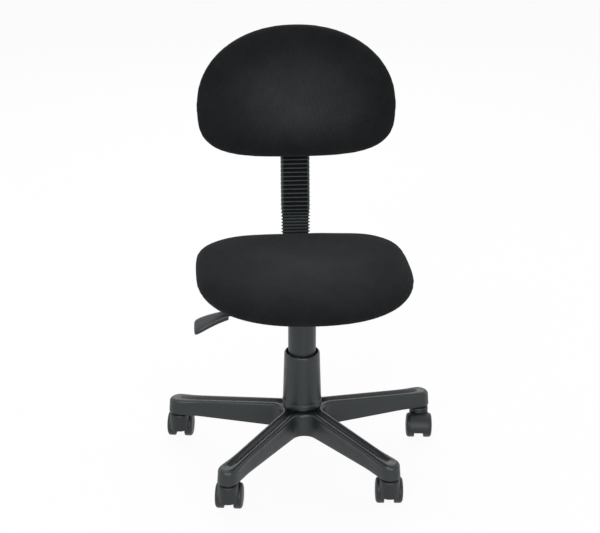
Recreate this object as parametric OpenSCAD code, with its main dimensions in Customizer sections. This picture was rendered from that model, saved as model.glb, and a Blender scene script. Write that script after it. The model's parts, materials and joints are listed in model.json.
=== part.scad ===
// Typist chair: a five-arm moulded base on twin-wheel casters, a gas lift under
// two telescopic covers, a padded seat with a lift lever, and a small backrest
// carried by a bent flat bar inside a ribbed boot.
// The origin is on the floor under the column. +Z is up and the chair faces -Y.

/* [Casters] */
// Diameter of a caster wheel
wheel_d = 50; // [46:1:56]
// Width of one wheel
wheel_w = 17.5; // [16:0.5:20]
// Diameter of the hood's round front, under the arm's tip
hood_d = 38; // [36:0.5:42]
// Width of the web between the two wheels
web_w = 18; // [16:0.5:20]
// Distance from the stem to the axle
caster_trail = 19; // [17:0.5:22]
// Height of the stem housing above the wheels
caster_head = 11; // [9:0.5:14]
// Diameter of the caster stem
stem_d = 11; // [10:0.5:12]
// Diameter of the caster axle
axle_d = 6; // [5:0.5:8]

/* [Base] */
// Radius of the circle through the caster stems
stem_ring_r = 260; // [230:1:290]
// Gap between the caster head and the arm's tip
stem_gap = 5; // [4:0.5:8]
// Half width of an arm at its lower edge
arm_half_w = 16.5; // [15:0.5:18]
// Radius of the boss at an arm's tip
tip_r = 20; // [19:0.5:22]
// Height of the arm ridges over the lower edge, drawn in to the column axis
ridge_root_h = 54; // [50:1:60]
// Height of the arm ridges over the lower edge at the stems
ridge_tip_h = 29.5; // [28:0.5:34]
// Radius of the fillets between two arms
root_fillet = 26; // [23:0.5:30]
// Depth of the channel along an arm's top
channel_depth = 5; // [3:0.5:7]
// Wall of the moulded base
base_wall = 3.2; // [2.6:0.2:4]

/* [Column] */
// Diameter of the column tube
column_d = 50; // [48:0.5:51]
// Height of the column tube above the base
column_rise = 167; // [160:1:172]
// Lift travel of the seat
stroke = 100; // [80:1:100]
// Diameter of the gas cylinder
cylinder_d = 28; // [26:0.5:30]
// Diameter of the piston rod
rod_d = 10; // [8:0.5:12]
// Outer diameter of the lower cover at its foot
cover_foot_d = 77; // [75:1:79]
// Outer diameter of the lower cover at its rim
cover_rim_d = 69; // [67:1:72]
// Height of the lower cover
cover_h = 115; // [113:1:118]
// Outer diameter of the upper cover
sleeve_d = 54.5; // [54:0.5:56]

/* [Seat] */
// Width of the seat cushion
seat_w = 410; // [380:5:440]
// Depth of the seat cushion in front of its widest line
seat_front = 203; // [190:1:215]
// Depth of the seat cushion behind its widest line
seat_rear = 181; // [172:1:186]
// Distance of the widest line in front of the column axis
seat_forward = 30; // [26:1:36]
// Height of the seat cushion's rounded side under its widest ring
seat_side_h = 25; // [22:1:28]
// Height of the seat cushion's crown
seat_crown = 31; // [28:1:38]
// How much the seat's front edge rolls down
seat_droop = 16; // [10:1:18]
// Thickness of the plywood seat board
seat_board_t = 12; // [10:1:15]
// Height of the mechanism pan
pan_h = 43; // [42:1:48]

/* [Backrest] */
// Width of the backrest
back_w = 391; // [360:1:420]
// Height of the backrest above its widest line
back_up = 154; // [145:1:165]
// Height of the backrest below its widest line
back_down = 107; // [98:1:112]
// Thickness of the backrest
back_t = 60; // [52:1:66]
// How far the backrest's sides come forward
back_wrap = 24; // [12:1:32]
// Backward lean of the backrest and its bar
lean = 7.5; // [4:0.5:11]
// Thickness of the curved board inside the backrest
back_board_t = 9; // [8:0.5:12]
// Height of the backrest's widest line above the seat's mechanism
back_height = 339; // [334:1:350]

/* [Back bar] */
// Width of the flat bar
bar_w = 44; // [40:1:46]
// Thickness of the flat bar
bar_t = 6; // [5:0.5:7]
// Bend radius of the bar at its middle
bend_r = 40; // [36:1:46]
// Distance from the column axis to the start of the bend
bend_start = 165; // [160:1:175]
// Width of the ribbed boot over its ribs
boot_w = 58; // [55:1:62]
// Depth of the ribbed boot over its ribs
boot_t = 28; // [26:1:29]
// Height of a rib on the boot
rib_h = 2.6; // [1.6:0.2:3]

/* [Lever and knobs] */
// Length of the lever's paddle
paddle_l = 62; // [56:1:72]
// Width of the paddle at its tip
paddle_w = 40; // [34:1:44]
// Thickness of the paddle
paddle_t = 14; // [13:0.5:16]
// Diameter of the lever's rod
lever_d = 8; // [7:0.5:9]
// Diameter of the clamp knobs over their lobes
knob_d = 42; // [36:1:48]
// Diameter of the clamp studs
stud_d = 8; // [8:0.5:10]

/* [Hidden] */

// Colours
nylon = [0.24, 0.25, 0.26];
black_steel = [0.16, 0.16, 0.17];
bright_steel = [0.72, 0.73, 0.74];
black_rubber = [0.12, 0.12, 0.12];
black_fabric = [0.10, 0.10, 0.11];
plywood = [0.72, 0.58, 0.40];
bush_white = [0.86, 0.86, 0.82];

// Smoothness of round faces
$fn = 64;

// Clearances: a shaft in its bore on the radius, a gap between moving faces,
// and the overrun of a cut past the face that it opens
run_fit = 0.05;
gap = 0.3;
over = 1;

// Counts and angles of the base. Casters 1 to 5 are front left, front right,
// right, back and left, and each has its own swivel angle at rest.
arm_count = 5;
sector = 360 / arm_count;
arm_angles = [for (i = [0:arm_count - 1]) -90 - sector / 2 + sector * i];
caster_yaws = [-8, -4, 175, -90, -8];

// Values of the base
collar_drop = 3.5;
column_below = 6;
draft = 1.5;
ridge_r = 2.6;
tip_round = 8;
tip_dome = 1.2;
flare_l = 55;
channel_end = 32;
ceiling_draft = 2.8;
boss_wall = 4.5;
rib_t = 2.4;
rib_rise = 9;
rib_cross_shares = [0.36, 0.52, 0.68, 0.84];
socket_depth = 24;
root_steps = 5;
flare_steps = 3;
tip_steps = 8;

// Values of the casters
wheel_gap = 0.5;
hood_wall = 2;
tread_gap = 0.6;
wheel_dome = 7;
wheel_edge = 2.5;
wheel_rim = 3.5;
wheel_crown = 2.5;
wheel_hub_wall = 3.5;
wheel_plate = 3;
wheel_hub_l = 15;
hood_lip_z = wheel_d / 2;
hood_rear_angle = 14;
collar_flat = 3;
flange_d = 20;
flange_t = 2.4;
stem_low = 30;
web_chin = 9;

// Values of the column and the gas lift
column_wall = 1.5;
column_taper = 0.8;
foot_t = 4;
bush_l = 70;
bush_lip = 2;
race_t = 1.2;
race_d = 30;
ball_d = 4;
ball_count = 10;
ball_gap = 0.1;
cage_t = 2;
bump_h = 12;
bump_d = 22;
clip_d = 17;
clip_t = 1.2;
rod_tail = 4;
cylinder_wall = 2;
piston_h = 12;
stop_spare = 2;
taper_l = 58;
taper_in = 0.6;
plug_h = 24;
gas_in_pan = 20;
button_d = 8;
button_rise = 6;
button_tip = 2.5;
button_l = 14;
button_room = 6;
cover_wall = 2;
cover_band_h = 12;
cover_band = 1.2;
cover_floor = 2.5;
sleeve_wall = 1.4;
sleeve_taper = 0.6;
sleeve_floor_gap = 8;
sleeve_cap = 2.5;
sleeve_spare = 6;

// Values of the mechanism under the seat
sheet_t = 3;
cloth_t = 1;
pan_w = 90;
pan_front = 75;
pan_rear = 98;
pan_corner = 10;
plate_w = 170;
plate_front = 100;
plate_rear = 108;
plate_corner = 14;
bolt_dx = 132;
bolt_y = [-86, 92];
bolt_d = 6;
bolt_head_d = 13;
bolt_head_h = 4.5;
bolt_l = 14;
nut_barrel_d = 8;
nut_flange_d = 18;
nut_flange_t = 1.4;
socket_d = 38;
socket_below = 30;
depth_in = 18;
depth_out = 25;
guide_wall = 4;
guide_clear = 4;
ear_t = 3;
ear_gap = 6;
ear_w = 16;
pivot_x = 36;
eye_d = 13;
pin_d = 5;
pin_head = 1.5;
rod_reach = 4;
rod_exit = 96;
rod_bend = 14;
rod_knee = 10;
bend_lap = 0.5;
bend_swell = 0.05;
exit_hole_d = 14;

// Values of the lever's paddle
paddle_x = 147;
paddle_z = -56;
paddle_drop = 24.5;
paddle_arch = 2;
paddle_tilt = 16;
paddle_root_w = 22;
paddle_hold = 18;
paddle_lead = 4;
paddle_stations = 10;
paddle_sides = 16;
paddle_end_share = 0.55;
paddle_end_w_share = 0.84;
paddle_end_t_share = 0.7;
paddle_close = 6;
paddle_side_power = 0.5;
paddle_top_power = 0.6;

// Values of the clamp studs and their knobs
nut_af = 14;
nut_h = 8;
pad_d = 14;
pad_travel = 1.5;
pad_rest = 0.1;
knob_h = 18;
knob_stem_h = 8;
knob_stem_d = 18;
knob_lobes = 5;
knob_core_share = 0.62;
knob_lobe_share = 0.2;
knob_free = 12;

// Values of the seat and back padding
seat_front_n = 2.45;
seat_rear_n = 4;
seat_crown_n = 4;
seat_flat_share = 0.82;
seat_board_share = 0.78;
cloth_share = 0.80;
pad_points = 60;
side_steps = 4;
crown_steps = 7;
crown_end_share = 0.35;
back_up_n = 1.95;
back_down_n = 3.5;
back_edge_n = 5;
back_board_share = 0.84;
back_flat_half = 45;
back_points = 56;
back_inner_steps = 3;
back_edge_steps = 5;

// Values of the bracket behind the backrest
bracket_w = 58;
bracket_h = 112;
bracket_below = 78;
bracket_wall = 3;
bracket_plate_w = 96;
bracket_plate_t = 3;
bracket_corner = 8;
bar_behind = 18;
pocket_w = 14;
pocket_wall = 3;
screw_edge_x = 9;
screw_edge_z = 14;
screw_dx = bracket_plate_w - 2 * screw_edge_x;
screw_dz = bracket_h - 2 * screw_edge_z;
screw_d = 5;
screw_head_d = 10;
screw_head_h = 3;
back_rise = 40;

// Values of the boot
boot_wall = 1.8;
boot_corner = 7;
boot_ribs = 42;
boot_pitch_share = 0.84;
boot_lip = 4;
boot_inner_rings = 12;

// Heights up the chair
axle_z = wheel_d / 2;
head_z = wheel_d + caster_head;
base_z = head_z + stem_gap;
hub_top_z = base_z + ridge_root_h - collar_drop;
column_z0 = base_z - column_below;
column_z1 = hub_top_z + column_rise;
pan_z0 = hub_top_z + cover_h + stroke + sleeve_spare;
flange_z = pan_z0 + pan_h;
cloth_z = flange_z + sheet_t;
board_z = cloth_z + cloth_t;

// Places along the bar: clear of the lift's socket and of the pan with the
// backrest in, and still under the clamp with the backrest out
bar_front = socket_d / 2 + depth_in + guide_clear;
clamp_y = bar_front + depth_out + pad_d / 2 + guide_clear;
guide_y = clamp_y - pad_d / 2 - 4 * guide_clear;
boot_start = pan_rear + depth_in + 2 * guide_clear;

// Rounds a share of a length off smoothly between nought and one
function ease(t) = let (c = max(0, min(1, t))) c * c * (3 - 2 * c);

function mix(a, b, t) = a + (b - a) * t;

// Triangles between closed rings that have the same number of points, with a
// fan to a point at each end. Rings run from the first point to the last one,
// and a ring's points run anticlockwise seen from the last point's end. A form
// that fills another's hollow from its outer ring inwards crosses each quad the
// other way, so that both have the same triangles.
function loft_faces(rings, n, crossed) = concat(
  [for (j = [0:n - 1]) [0, 1 + (j + 1) % n, 1 + j]],
  [for (i = [0:rings - 2], j = [0:n - 1], k = [0:1])
    let (a = 1 + i * n + j, b = 1 + i * n + (j + 1) % n)
    crossed ? (k == 0 ? [a, b, a + n] : [b, b + n, a + n]) : (k == 0 ? [a, b, b + n] : [a, b + n, a + n])],
  [for (j = [0:n - 1]) [1 + rings * n, 1 + (rings - 1) * n + j, 1 + (rings - 1) * n + (j + 1) % n]]
);

module loft(first, rings, last, crossed = false) {
  n = len(rings[0]);
  polyhedron(
    points = concat([first], [for (r = rings, p = r) p], [last]),
    faces = [for (f = loft_faces(len(rings), n, crossed)) [f[0], f[2], f[1]]]
  );
}

module tube(outer_d, inner_d, z0, z1) {
  difference() {
    translate([0, 0, z0]) cylinder(d = outer_d, h = z1 - z0);
    translate([0, 0, z0 - over]) cylinder(d = inner_d, h = z1 - z0 + 2 * over);
  }
}

// A rectangle with round corners, centred in x, from y0 to y1
module round_rect(w, y0, y1, r) {
  translate([-w / 2 + r, y0]) square([w - 2 * r, y1 - y0]);
  translate([-w / 2, y0 + r]) square([w, y1 - y0 - 2 * r]);
  for (x = [-w / 2 + r, w / 2 - r], y = [y0 + r, y1 - r]) translate([x, y]) circle(r);
}

// The moulded base. Each ring is the star's outline moved inwards: from the
// valley between two arms along one side, round the tip and back.
function arm_side(half_w, fillet, tip_u, end_r) =
  let (root_u = (half_w + fillet) / tan(sector / 2), start_u = stem_ring_r - flare_l)
  concat(
    [for (i = [0:root_steps])
      let (a = 180 - sector / 2 - (90 - sector / 2) * i / root_steps)
      [root_u + fillet * cos(a), fillet * sin(a) - half_w - fillet]],
    [for (i = [0:flare_steps - 1])
      let (t = i / flare_steps)
      [mix(min(start_u, tip_u - flare_l / 2), tip_u, t), -mix(half_w, end_r, ease(t))]]
  );

function arm_outline(half_w, fillet, tip_u, end_r) =
  let (side = arm_side(half_w, fillet, tip_u, end_r), n = len(side))
  concat(
    side,
    [for (i = [0:tip_steps]) let (a = -90 + 180 * i / tip_steps) [tip_u + end_r * cos(a), end_r * sin(a)]],
    [for (i = [n - 1:-1:1]) [side[i][0], -side[i][1]]]
  );

function turned(p, a) = [p[0] * cos(a) - p[1] * sin(a), p[0] * sin(a) + p[1] * cos(a)];

function ridge_z(r) = base_z + ridge_root_h - (ridge_root_h - ridge_tip_h) * r / stem_ring_r
  + tip_dome * ease((r - stem_ring_r + channel_end) / channel_end);

// How far a point lies into the tip's own rounding, from nought to one
function tip_share(r) = ease((r - stem_ring_r + flare_l) / flare_l);

// A ring of the star. arm_in and tip_in are how far it lies inside the lower
// edge along the arm and at the tip, and drops are depths under the ridge line.
function star_ring(arm_in, tip_in, tip_back, arm_drop, tip_drop, flat) =
  [for (a = arm_angles, p = arm_outline(arm_half_w - arm_in, root_fillet + arm_in,
      stem_ring_r - tip_back, tip_r - tip_in))
    let (q = turned(p, a), r = norm(p))
    [q[0], q[1], flat ? base_z : ridge_z(r) - mix(arm_drop, tip_drop, tip_share(r))]];

// The ridge's round bead: phi runs from its outer side over the crest
function bead_ring(phi) =
  let (
    inside = draft + ridge_r * (1 - cos(phi)),
    past = max(0, phi / 90 - 1),
    crest_tip_in = draft + tip_round,
    channel_tip_in = tip_r - arm_half_w + inside
  )
  star_ring(
    inside,
    past == 0 ? draft + tip_round * (1 - cos(phi)) : mix(crest_tip_in, channel_tip_in, past),
    past * channel_end,
    ridge_r * (1 - sin(phi)),
    past == 0 ? tip_round * (1 - sin(phi)) : ridge_r * (1 - sin(phi)) * past,
    false
  );

function channel_ring() =
  let (inside = draft + 2 * ridge_r + draft / 2)
  star_ring(inside, tip_r - arm_half_w + inside, channel_end, channel_depth, channel_depth, false);

function cavity_ring(inside, flat) =
  star_ring(inside, tip_r - arm_half_w + inside, channel_end, channel_depth + base_wall,
    channel_depth + base_wall, flat);

module star_shell() {
  rings = concat(
    [cavity_ring(base_wall + ceiling_draft, false), cavity_ring(base_wall, true)],
    [star_ring(0, 0, 0, 0, 0, true)],
    [for (phi = [0:30:180]) bead_ring(phi)],
    [channel_ring()]
  );
  floor_z = base_z + ridge_root_h - channel_depth;
  loft([0, 0, floor_z - base_wall], rings, [0, 0, floor_z]);
}

// Ribs under the arms: one along each arm and a few across it
module star_ribs() {
  rib_half = arm_half_w - base_wall / 2;
  translate([0, 0, base_z + over]) linear_extrude(rib_rise) for (a = arm_angles) rotate(a) {
    translate([boss_r, -rib_t / 2]) square([stem_ring_r - channel_end - boss_r, rib_t]);
    for (s = rib_cross_shares)
      translate([stem_ring_r * s - rib_t / 2, -rib_half]) square([rib_t, 2 * rib_half]);
  }
}

// The hub's bore tapers with the column tube's foot
boss_r = column_d / 2 + boss_wall;
function column_r(z) = column_d / 2 - column_taper * max(0, hub_top_z - z) / (hub_top_z - column_z0);

module base_star() color(nylon) difference() {
  union() {
    star_shell();
    star_ribs();
    translate([0, 0, base_z]) cylinder(r = boss_r, h = hub_top_z - base_z);
  }
  translate([0, 0, base_z]) cylinder(r1 = column_r(base_z), r2 = column_r(hub_top_z), h = hub_top_z - base_z);
  translate([0, 0, base_z - over]) cylinder(r = column_r(base_z), h = 2 * over);
  translate([0, 0, hub_top_z - over]) cylinder(r = column_r(hub_top_z), h = 3 * over);
  for (a = arm_angles) rotate(a) translate([stem_ring_r, 0, base_z - over])
    cylinder(d = stem_d, h = socket_depth + over);
}

module column_tube() color(black_steel) rotate_extrude() polygon([
  [rod_d / 2 + run_fit, column_z0],
  [column_r(column_z0), column_z0],
  [column_r(hub_top_z), hub_top_z],
  [column_d / 2, column_z1],
  [column_d / 2 - column_wall, column_z1],
  [column_d / 2 - column_wall, hub_top_z],
  [column_r(column_z0) - column_wall, column_z0 + foot_t],
  [rod_d / 2 + run_fit, column_z0 + foot_t]
]);

module guide_bush() color(bush_white) {
  tube(column_d - 2 * column_wall, cylinder_d + 2 * run_fit, column_z1 - bush_l, column_z1);
  tube(column_d, cylinder_d + 2 * run_fit, column_z1, column_z1 + bush_lip);
}

// The lower cover stands on the hub's collar and narrows towards its rim
module lower_cover() color(nylon) {
  foot = cover_foot_d / 2;
  rim = cover_rim_d / 2;
  band_r = mix(foot, rim, cover_band_h / cover_h);
  rotate_extrude() polygon([
    [column_d / 2 + gap, hub_top_z],
    [foot - cover_band, hub_top_z],
    [foot, hub_top_z + cover_band],
    [foot + cover_band / 2, hub_top_z + cover_band_h / 2],
    [foot, hub_top_z + cover_band_h],
    [band_r, hub_top_z + cover_band_h + cover_band],
    [rim, hub_top_z + cover_h - cover_band],
    [rim - cover_band, hub_top_z + cover_h],
    [rim - cover_wall, hub_top_z + cover_h],
    [foot - cover_wall - cover_band, hub_top_z + cover_floor],
    [column_d / 2 + gap, hub_top_z + cover_floor]
  ]);
}

// The thrust bearing stands on the column's foot
race_z0 = column_z0 + foot_t;
ball_z = race_z0 + race_t + ball_gap + ball_d / 2;
race_z1 = ball_z + ball_d / 2 + ball_gap;
bump_z0 = race_z1 + race_t;
bump_z1 = bump_z0 + bump_h;
ball_ring_r = (race_d + rod_d) / 4;

module lower_race() color(bright_steel) tube(race_d, rod_d + 2 * gap, race_z0, race_z0 + race_t);

module upper_race() color(bright_steel) tube(race_d, rod_d, race_z1, race_z1 + race_t);

module ball_ring() for (i = [0:ball_count - 1]) rotate(360 * i / ball_count) translate([ball_ring_r, 0, 0]) children();

module bearing_cage() color(bush_white) difference() {
  tube(race_d, rod_d + 2 * gap, ball_z - cage_t / 2, ball_z + cage_t / 2);
  ball_ring() translate([0, 0, ball_z - cage_t]) cylinder(d = ball_d + 2 * run_fit, h = 2 * cage_t);
}

module bearing_balls() color(bright_steel) ball_ring() translate([0, 0, ball_z]) sphere(d = ball_d);

module bump_stop() color(black_rubber) tube(bump_d, rod_d, bump_z0, bump_z1);

// The gas cylinder bottoms out just over the bump stop with the seat down
cylinder_z0 = bump_z1 + gap;
cylinder_z1 = pan_z0 + gas_in_pan;
cavity_r = cylinder_d / 2 - cylinder_wall;
cavity_z1 = cylinder_z1 - plug_h;
piston_z1 = cavity_z1 - gap;
// The cavity's floor stops the piston just past the end of the stroke
cavity_z0 = piston_z1 - piston_h - stroke - stop_spare;

module piston_rod() color(bright_steel) {
  translate([0, 0, column_z0 - clip_t - rod_tail]) cylinder(d = rod_d, h = piston_z1 - column_z0 + clip_t + rod_tail);
  translate([0, 0, piston_z1 - piston_h]) cylinder(r = cavity_r - run_fit, h = piston_h);
}

module retaining_clip() color(black_steel)
  tube(clip_d, rod_d, column_z0 - gap / 2 - clip_t, column_z0 - gap / 2);

module gas_cylinder() color(black_steel) rotate_extrude() polygon([
  [rod_d / 2 + run_fit, cylinder_z0],
  [cylinder_d / 2, cylinder_z0],
  [cylinder_d / 2, cylinder_z1 - taper_l],
  [cylinder_d / 2 - taper_in, cylinder_z1],
  [button_d / 2 + run_fit, cylinder_z1],
  [button_d / 2 + run_fit, button_z0 - button_room],
  [0, button_z0 - button_room],
  [0, cavity_z1],
  [cavity_r, cavity_z1],
  [cavity_r, cavity_z0],
  [rod_d / 2 + run_fit, cavity_z0]
]);

button_z1 = cylinder_z1 + button_rise;
button_z0 = button_z1 - button_l;

module release_button() color(bright_steel) {
  translate([0, 0, button_z0]) cylinder(d = button_d, h = button_l - button_tip);
  translate([0, 0, button_z1 - button_tip]) cylinder(d1 = button_d, d2 = button_d / 2, h = button_tip);
}

// The upper cover hangs from the mechanism's socket and slides inside the lower one
module upper_cover() color(nylon) {
  top = sleeve_d / 2 - sleeve_taper;
  rotate_extrude() polygon([
    [sleeve_d / 2 - sleeve_wall, hub_top_z + sleeve_floor_gap],
    [sleeve_d / 2, hub_top_z + sleeve_floor_gap],
    [top, pan_z0],
    [socket_d / 2, pan_z0],
    [socket_d / 2, pan_z0 - sleeve_cap],
    [top - sleeve_wall, pan_z0 - sleeve_cap]
  ]);
}

// The pressed mechanism: a pan with a flange, the lift's tapered socket, the
// bar's guide, the clamp nut and two ears for the lever's pin
bar_z = pan_z0 + sheet_t + gap + bar_t / 2;
lever_z = button_z1 + lever_d / 2 + gap;

module pan_shape(inset) {
  round_rect(pan_w - 2 * inset, -pan_front + inset, pan_rear - inset, pan_corner - inset);
}

module mechanism() color(black_steel) difference() {
  union() {
    difference() {
      translate([0, 0, pan_z0]) linear_extrude(pan_h) pan_shape(0);
      translate([0, 0, pan_z0 + sheet_t]) linear_extrude(pan_h) pan_shape(sheet_t);
    }
    translate([0, 0, flange_z]) linear_extrude(sheet_t) difference() {
      round_rect(plate_w, -plate_front, plate_rear, plate_corner);
      pan_shape(sheet_t);
    }
    translate([0, 0, pan_z0 - socket_below]) cylinder(d = socket_d, h = socket_below + gas_in_pan - gap);
    bar_guide();
    translate([0, clamp_y, pan_z0 - nut_h]) cylinder(d = nut_af / cos(30), h = nut_h, $fn = 6);
    for (s = [-1, 1]) translate([-pivot_x - ear_w / 2, s > 0 ? ear_gap : -ear_gap - ear_t, pan_z0 + sheet_t])
      cube([ear_w, ear_t, lever_z + ear_w / 2 - pan_z0 - sheet_t]);
  }
  translate([0, 0, pan_z0 - socket_below]) gas_seat();
  translate([0, clamp_y, pan_z0 - nut_h - over]) cylinder(d = stud_d + 2 * run_fit, h = nut_h + 2 * over);
  translate([0, clamp_y, pan_z0]) cylinder(d = pad_d + 2 * gap, h = sheet_t + over);
  translate([0, pan_rear - sheet_t - over, bar_z]) rotate([-90, 0, 0])
    linear_extrude(sheet_t + 2 * over) square([bar_w + 2 * gap, bar_t + 2 * gap], center = true);
  translate([-pan_w / 2 - over, 0, lever_z]) rotate([0, 90, 0]) cylinder(d = exit_hole_d, h = sheet_t + 2 * over);
  translate([-pivot_x, -ear_gap - ear_t - over, lever_z]) rotate([-90, 0, 0])
    cylinder(d = pin_d, h = 2 * (ear_gap + ear_t + over));
  for (x = [-bolt_dx / 2, bolt_dx / 2], y = bolt_y) translate([x, y, flange_z - over])
    cylinder(d = bolt_d + 2 * gap, h = sheet_t + 2 * over);
}

// The socket's bore follows the gas cylinder: straight, then tapered
module gas_seat() {
  straight = socket_below + gas_in_pan - taper_l;
  translate([0, 0, -over]) cylinder(d = cylinder_d, h = over + max(0, straight));
  translate([0, 0, straight])
    cylinder(r1 = cylinder_d / 2, r2 = cylinder_d / 2 - taper_in, h = taper_l);
}

// A channel over the bar, open at both ends and closed on its sides
module bar_guide() {
  outer = bar_w + 2 * gap + 2 * guide_wall;
  inner_h = bar_t + 2 * gap;
  translate([0, guide_y, pan_z0 + sheet_t]) difference() {
    translate([-outer / 2, 0, 0]) cube([outer, pan_rear - sheet_t - guide_y, inner_h + sheet_t]);
    translate([-bar_w / 2 - gap, -over, -over]) cube([bar_w + 2 * gap, pan_rear, inner_h + over]);
  }
}

module lever_pin() color(bright_steel) translate([-pivot_x, 0, lever_z]) rotate([-90, 0, 0]) {
  translate([0, 0, -ear_gap - ear_t]) cylinder(d = pin_d, h = 2 * (ear_gap + ear_t));
  translate([0, 0, ear_gap + ear_t]) cylinder(d = pin_d + 2 * pin_head, h = pin_head);
  translate([0, 0, -ear_gap - ear_t - pin_head]) cylinder(d = pin_d + 2 * pin_head, h = pin_head);
}

// A round rod along a route in the plane of x and z, with round bends that are
// a little thicker than its straights, as pressed bends are. The plane is drawn
// in x and y and then stood up.
function heading(a, b) = atan2(b[1] - a[1], b[0] - a[0]);

module straight_rod(a, b, d) translate(a) rotate([0, 90, heading(a, b)]) cylinder(d = d, h = norm(b - a));

module bent_rod(route, bend, d) {
  last = len(route) - 1;
  cut = [for (i = [0:last]) i == 0 || i == last ? 0
    : bend * tan(abs(heading(route[i], route[i + 1]) - heading(route[i - 1], route[i])) / 2)];
  for (i = [0:last - 1]) {
    along = (route[i + 1] - route[i]) / norm(route[i + 1] - route[i]);
    lap_a = i == 0 ? 0 : bend_lap;
    lap_b = i == last - 1 ? 0 : bend_lap;
    straight_rod(route[i] + along * (cut[i] - lap_a), route[i + 1] - along * (cut[i + 1] - lap_b), d);
  }
  for (i = [1:last - 1]) {
    from = heading(route[i - 1], route[i]);
    turned_by = heading(route[i], route[i + 1]) - from;
    side = sign(turned_by);
    start = route[i] - [cos(from), sin(from)] * cut[i];
    translate(start + bend * side * [-sin(from), cos(from)])
      rotate(from - side * 90 + min(0, turned_by)) rotate_extrude(angle = abs(turned_by))
      translate([bend, 0]) circle(d = d + 2 * bend_swell);
  }
}

// The lever: a rod with an eye on the pin, its inner end over the button and
// its outer end drooping to the paddle. It is drawn with x towards the paddle.
paddle_slope = atan2(paddle_drop, paddle_l);
function paddle_line(l) = [paddle_x + l * cos(paddle_slope), paddle_z - l * sin(paddle_slope)];
rod_route = [[-rod_reach, 0], [rod_exit, 0], paddle_line(-rod_knee), paddle_line(paddle_hold)];

module in_lever_plane() translate([0, 0, lever_z]) rotate([90, 0, 180]) children();

module lever_rod() color(black_steel) difference() {
  union() {
    in_lever_plane() bent_rod(rod_route, rod_bend, lever_d);
    translate([-pivot_x, -ear_gap + gap, lever_z]) rotate([-90, 0, 0]) cylinder(d = eye_d, h = 2 * (ear_gap - gap));
  }
  translate([-pivot_x, -ear_gap - over, lever_z]) rotate([-90, 0, 0])
    cylinder(d = pin_d + 2 * run_fit, h = 2 * (ear_gap + over));
}

// The paddle: oval sections that lean forwards, widen and arch down to the tip
function paddle_ring(t) =
  let (
    end = t > paddle_end_share ? (t - paddle_end_share) / (1 - paddle_end_share) : 0,
    close = sqrt(max(0, 1 - pow(end, paddle_close))),
    half_w = mix(paddle_root_w, paddle_w, ease(t)) / 2 * mix(paddle_end_w_share, 1, close),
    half_t = paddle_t / 2 * mix(paddle_end_t_share, 1, close),
    x = -paddle_x + paddle_lead - (paddle_l + paddle_lead) * t,
    z = lever_z + paddle_z + paddle_lead * paddle_drop / paddle_l
      - (paddle_drop + paddle_lead * paddle_drop / paddle_l) * t + paddle_arch * sin(180 * t)
  )
  [for (j = [0:paddle_sides - 1])
    let (
      a = 360 * j / paddle_sides, c = cos(a), s = sin(a),
      across = half_w * sign(c) * pow(abs(c), paddle_side_power),
      up = half_t * sign(s) * pow(abs(s), paddle_top_power)
    )
    [x, across * cos(paddle_tilt) - up * sin(paddle_tilt), z + across * sin(paddle_tilt) + up * cos(paddle_tilt)]];

module lever_paddle() color(nylon) difference() {
  rings = [for (i = [0:paddle_stations]) paddle_ring(i / paddle_stations)];
  middle = [for (i = [0, paddle_stations]) let (r = rings[i]) [r[0][0], 0, (r[paddle_sides / 4][2] + r[3 * paddle_sides / 4][2]) / 2]];
  loft(middle[0], rings, middle[1]);
  in_lever_plane() straight_rod(rod_route[2], rod_route[3], lever_d);
}

// Seat fixings: bolts through the flange into T-nuts sunk in the board
module at_bolts() for (x = [-bolt_dx / 2, bolt_dx / 2], y = bolt_y) translate([x, y, flange_z]) children();

module seat_bolts() color(bright_steel) at_bolts() {
  translate([0, 0, -bolt_head_h]) cylinder(d = bolt_head_d, h = bolt_head_h, $fn = 6);
  cylinder(d = bolt_d, h = bolt_l);
}

module t_nuts() color(bright_steel) at_bolts() translate([0, 0, sheet_t + cloth_t]) {
  tube(nut_barrel_d, bolt_d, over, seat_board_t - nut_flange_t);
  tube(nut_flange_d, bolt_d, seat_board_t - nut_flange_t, seat_board_t);
}

// The seat's outline: two half superellipses that meet at the widest line
function seat_point(a, share) =
  let (
    c = cos(a), s = sin(a),
    n = s < 0 ? seat_front_n : seat_rear_n,
    depth = s < 0 ? seat_front : seat_rear
  )
  [seat_w / 2 * share * sign(c) * pow(abs(c), 2 / n),
   depth * share * sign(s) * pow(abs(s), 2 / n) - seat_forward];

function seat_angle(j) = 360 * (j + 0.5) / pad_points;

module seat_outline(share) polygon([for (j = [0:pad_points - 1]) seat_point(seat_angle(j), share)]);

function seat_ring(share, base, rise) =
  [for (j = [0:pad_points - 1])
    let (
      p = seat_point(seat_angle(j), share),
      front = max(0, min(1, -(p[1] + seat_forward) / seat_front)),
      side_z = board_z + seat_side_h - seat_droop * front * front
    )
    [p[0], p[1], mix(board_z, side_z, base) + rise]];

module seat_cushion() color(black_fabric) {
  recess = board_z + seat_board_t;
  rings = concat(
    [[for (j = [0:pad_points - 1]) let (p = seat_point(seat_angle(j), seat_board_share)) [p[0], p[1], recess]]],
    [seat_ring(seat_board_share, 0, 0)],
    [for (i = [0:side_steps]) let (a = 90 * i / side_steps)
      seat_ring(mix(seat_flat_share, 1, sin(a)), 1 - cos(a), 0)],
    [for (i = [1:crown_steps]) let (share = cos(90 * i / (crown_steps + crown_end_share)))
      seat_ring(share, 1, seat_crown * sqrt(1 - pow(share, seat_crown_n)))]
  );
  loft([0, -seat_forward, recess], rings, [0, -seat_forward, board_z + seat_side_h + seat_crown]);
}

module seat_board() color(plywood) difference() {
  translate([0, 0, board_z]) linear_extrude(seat_board_t) seat_outline(seat_board_share);
  at_bolts() translate([0, 0, sheet_t]) cylinder(d = nut_barrel_d, h = cloth_t + seat_board_t);
  at_bolts() translate([0, 0, sheet_t + cloth_t + seat_board_t - nut_flange_t]) cylinder(d = nut_flange_d, h = nut_flange_t + over);
}

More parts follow.
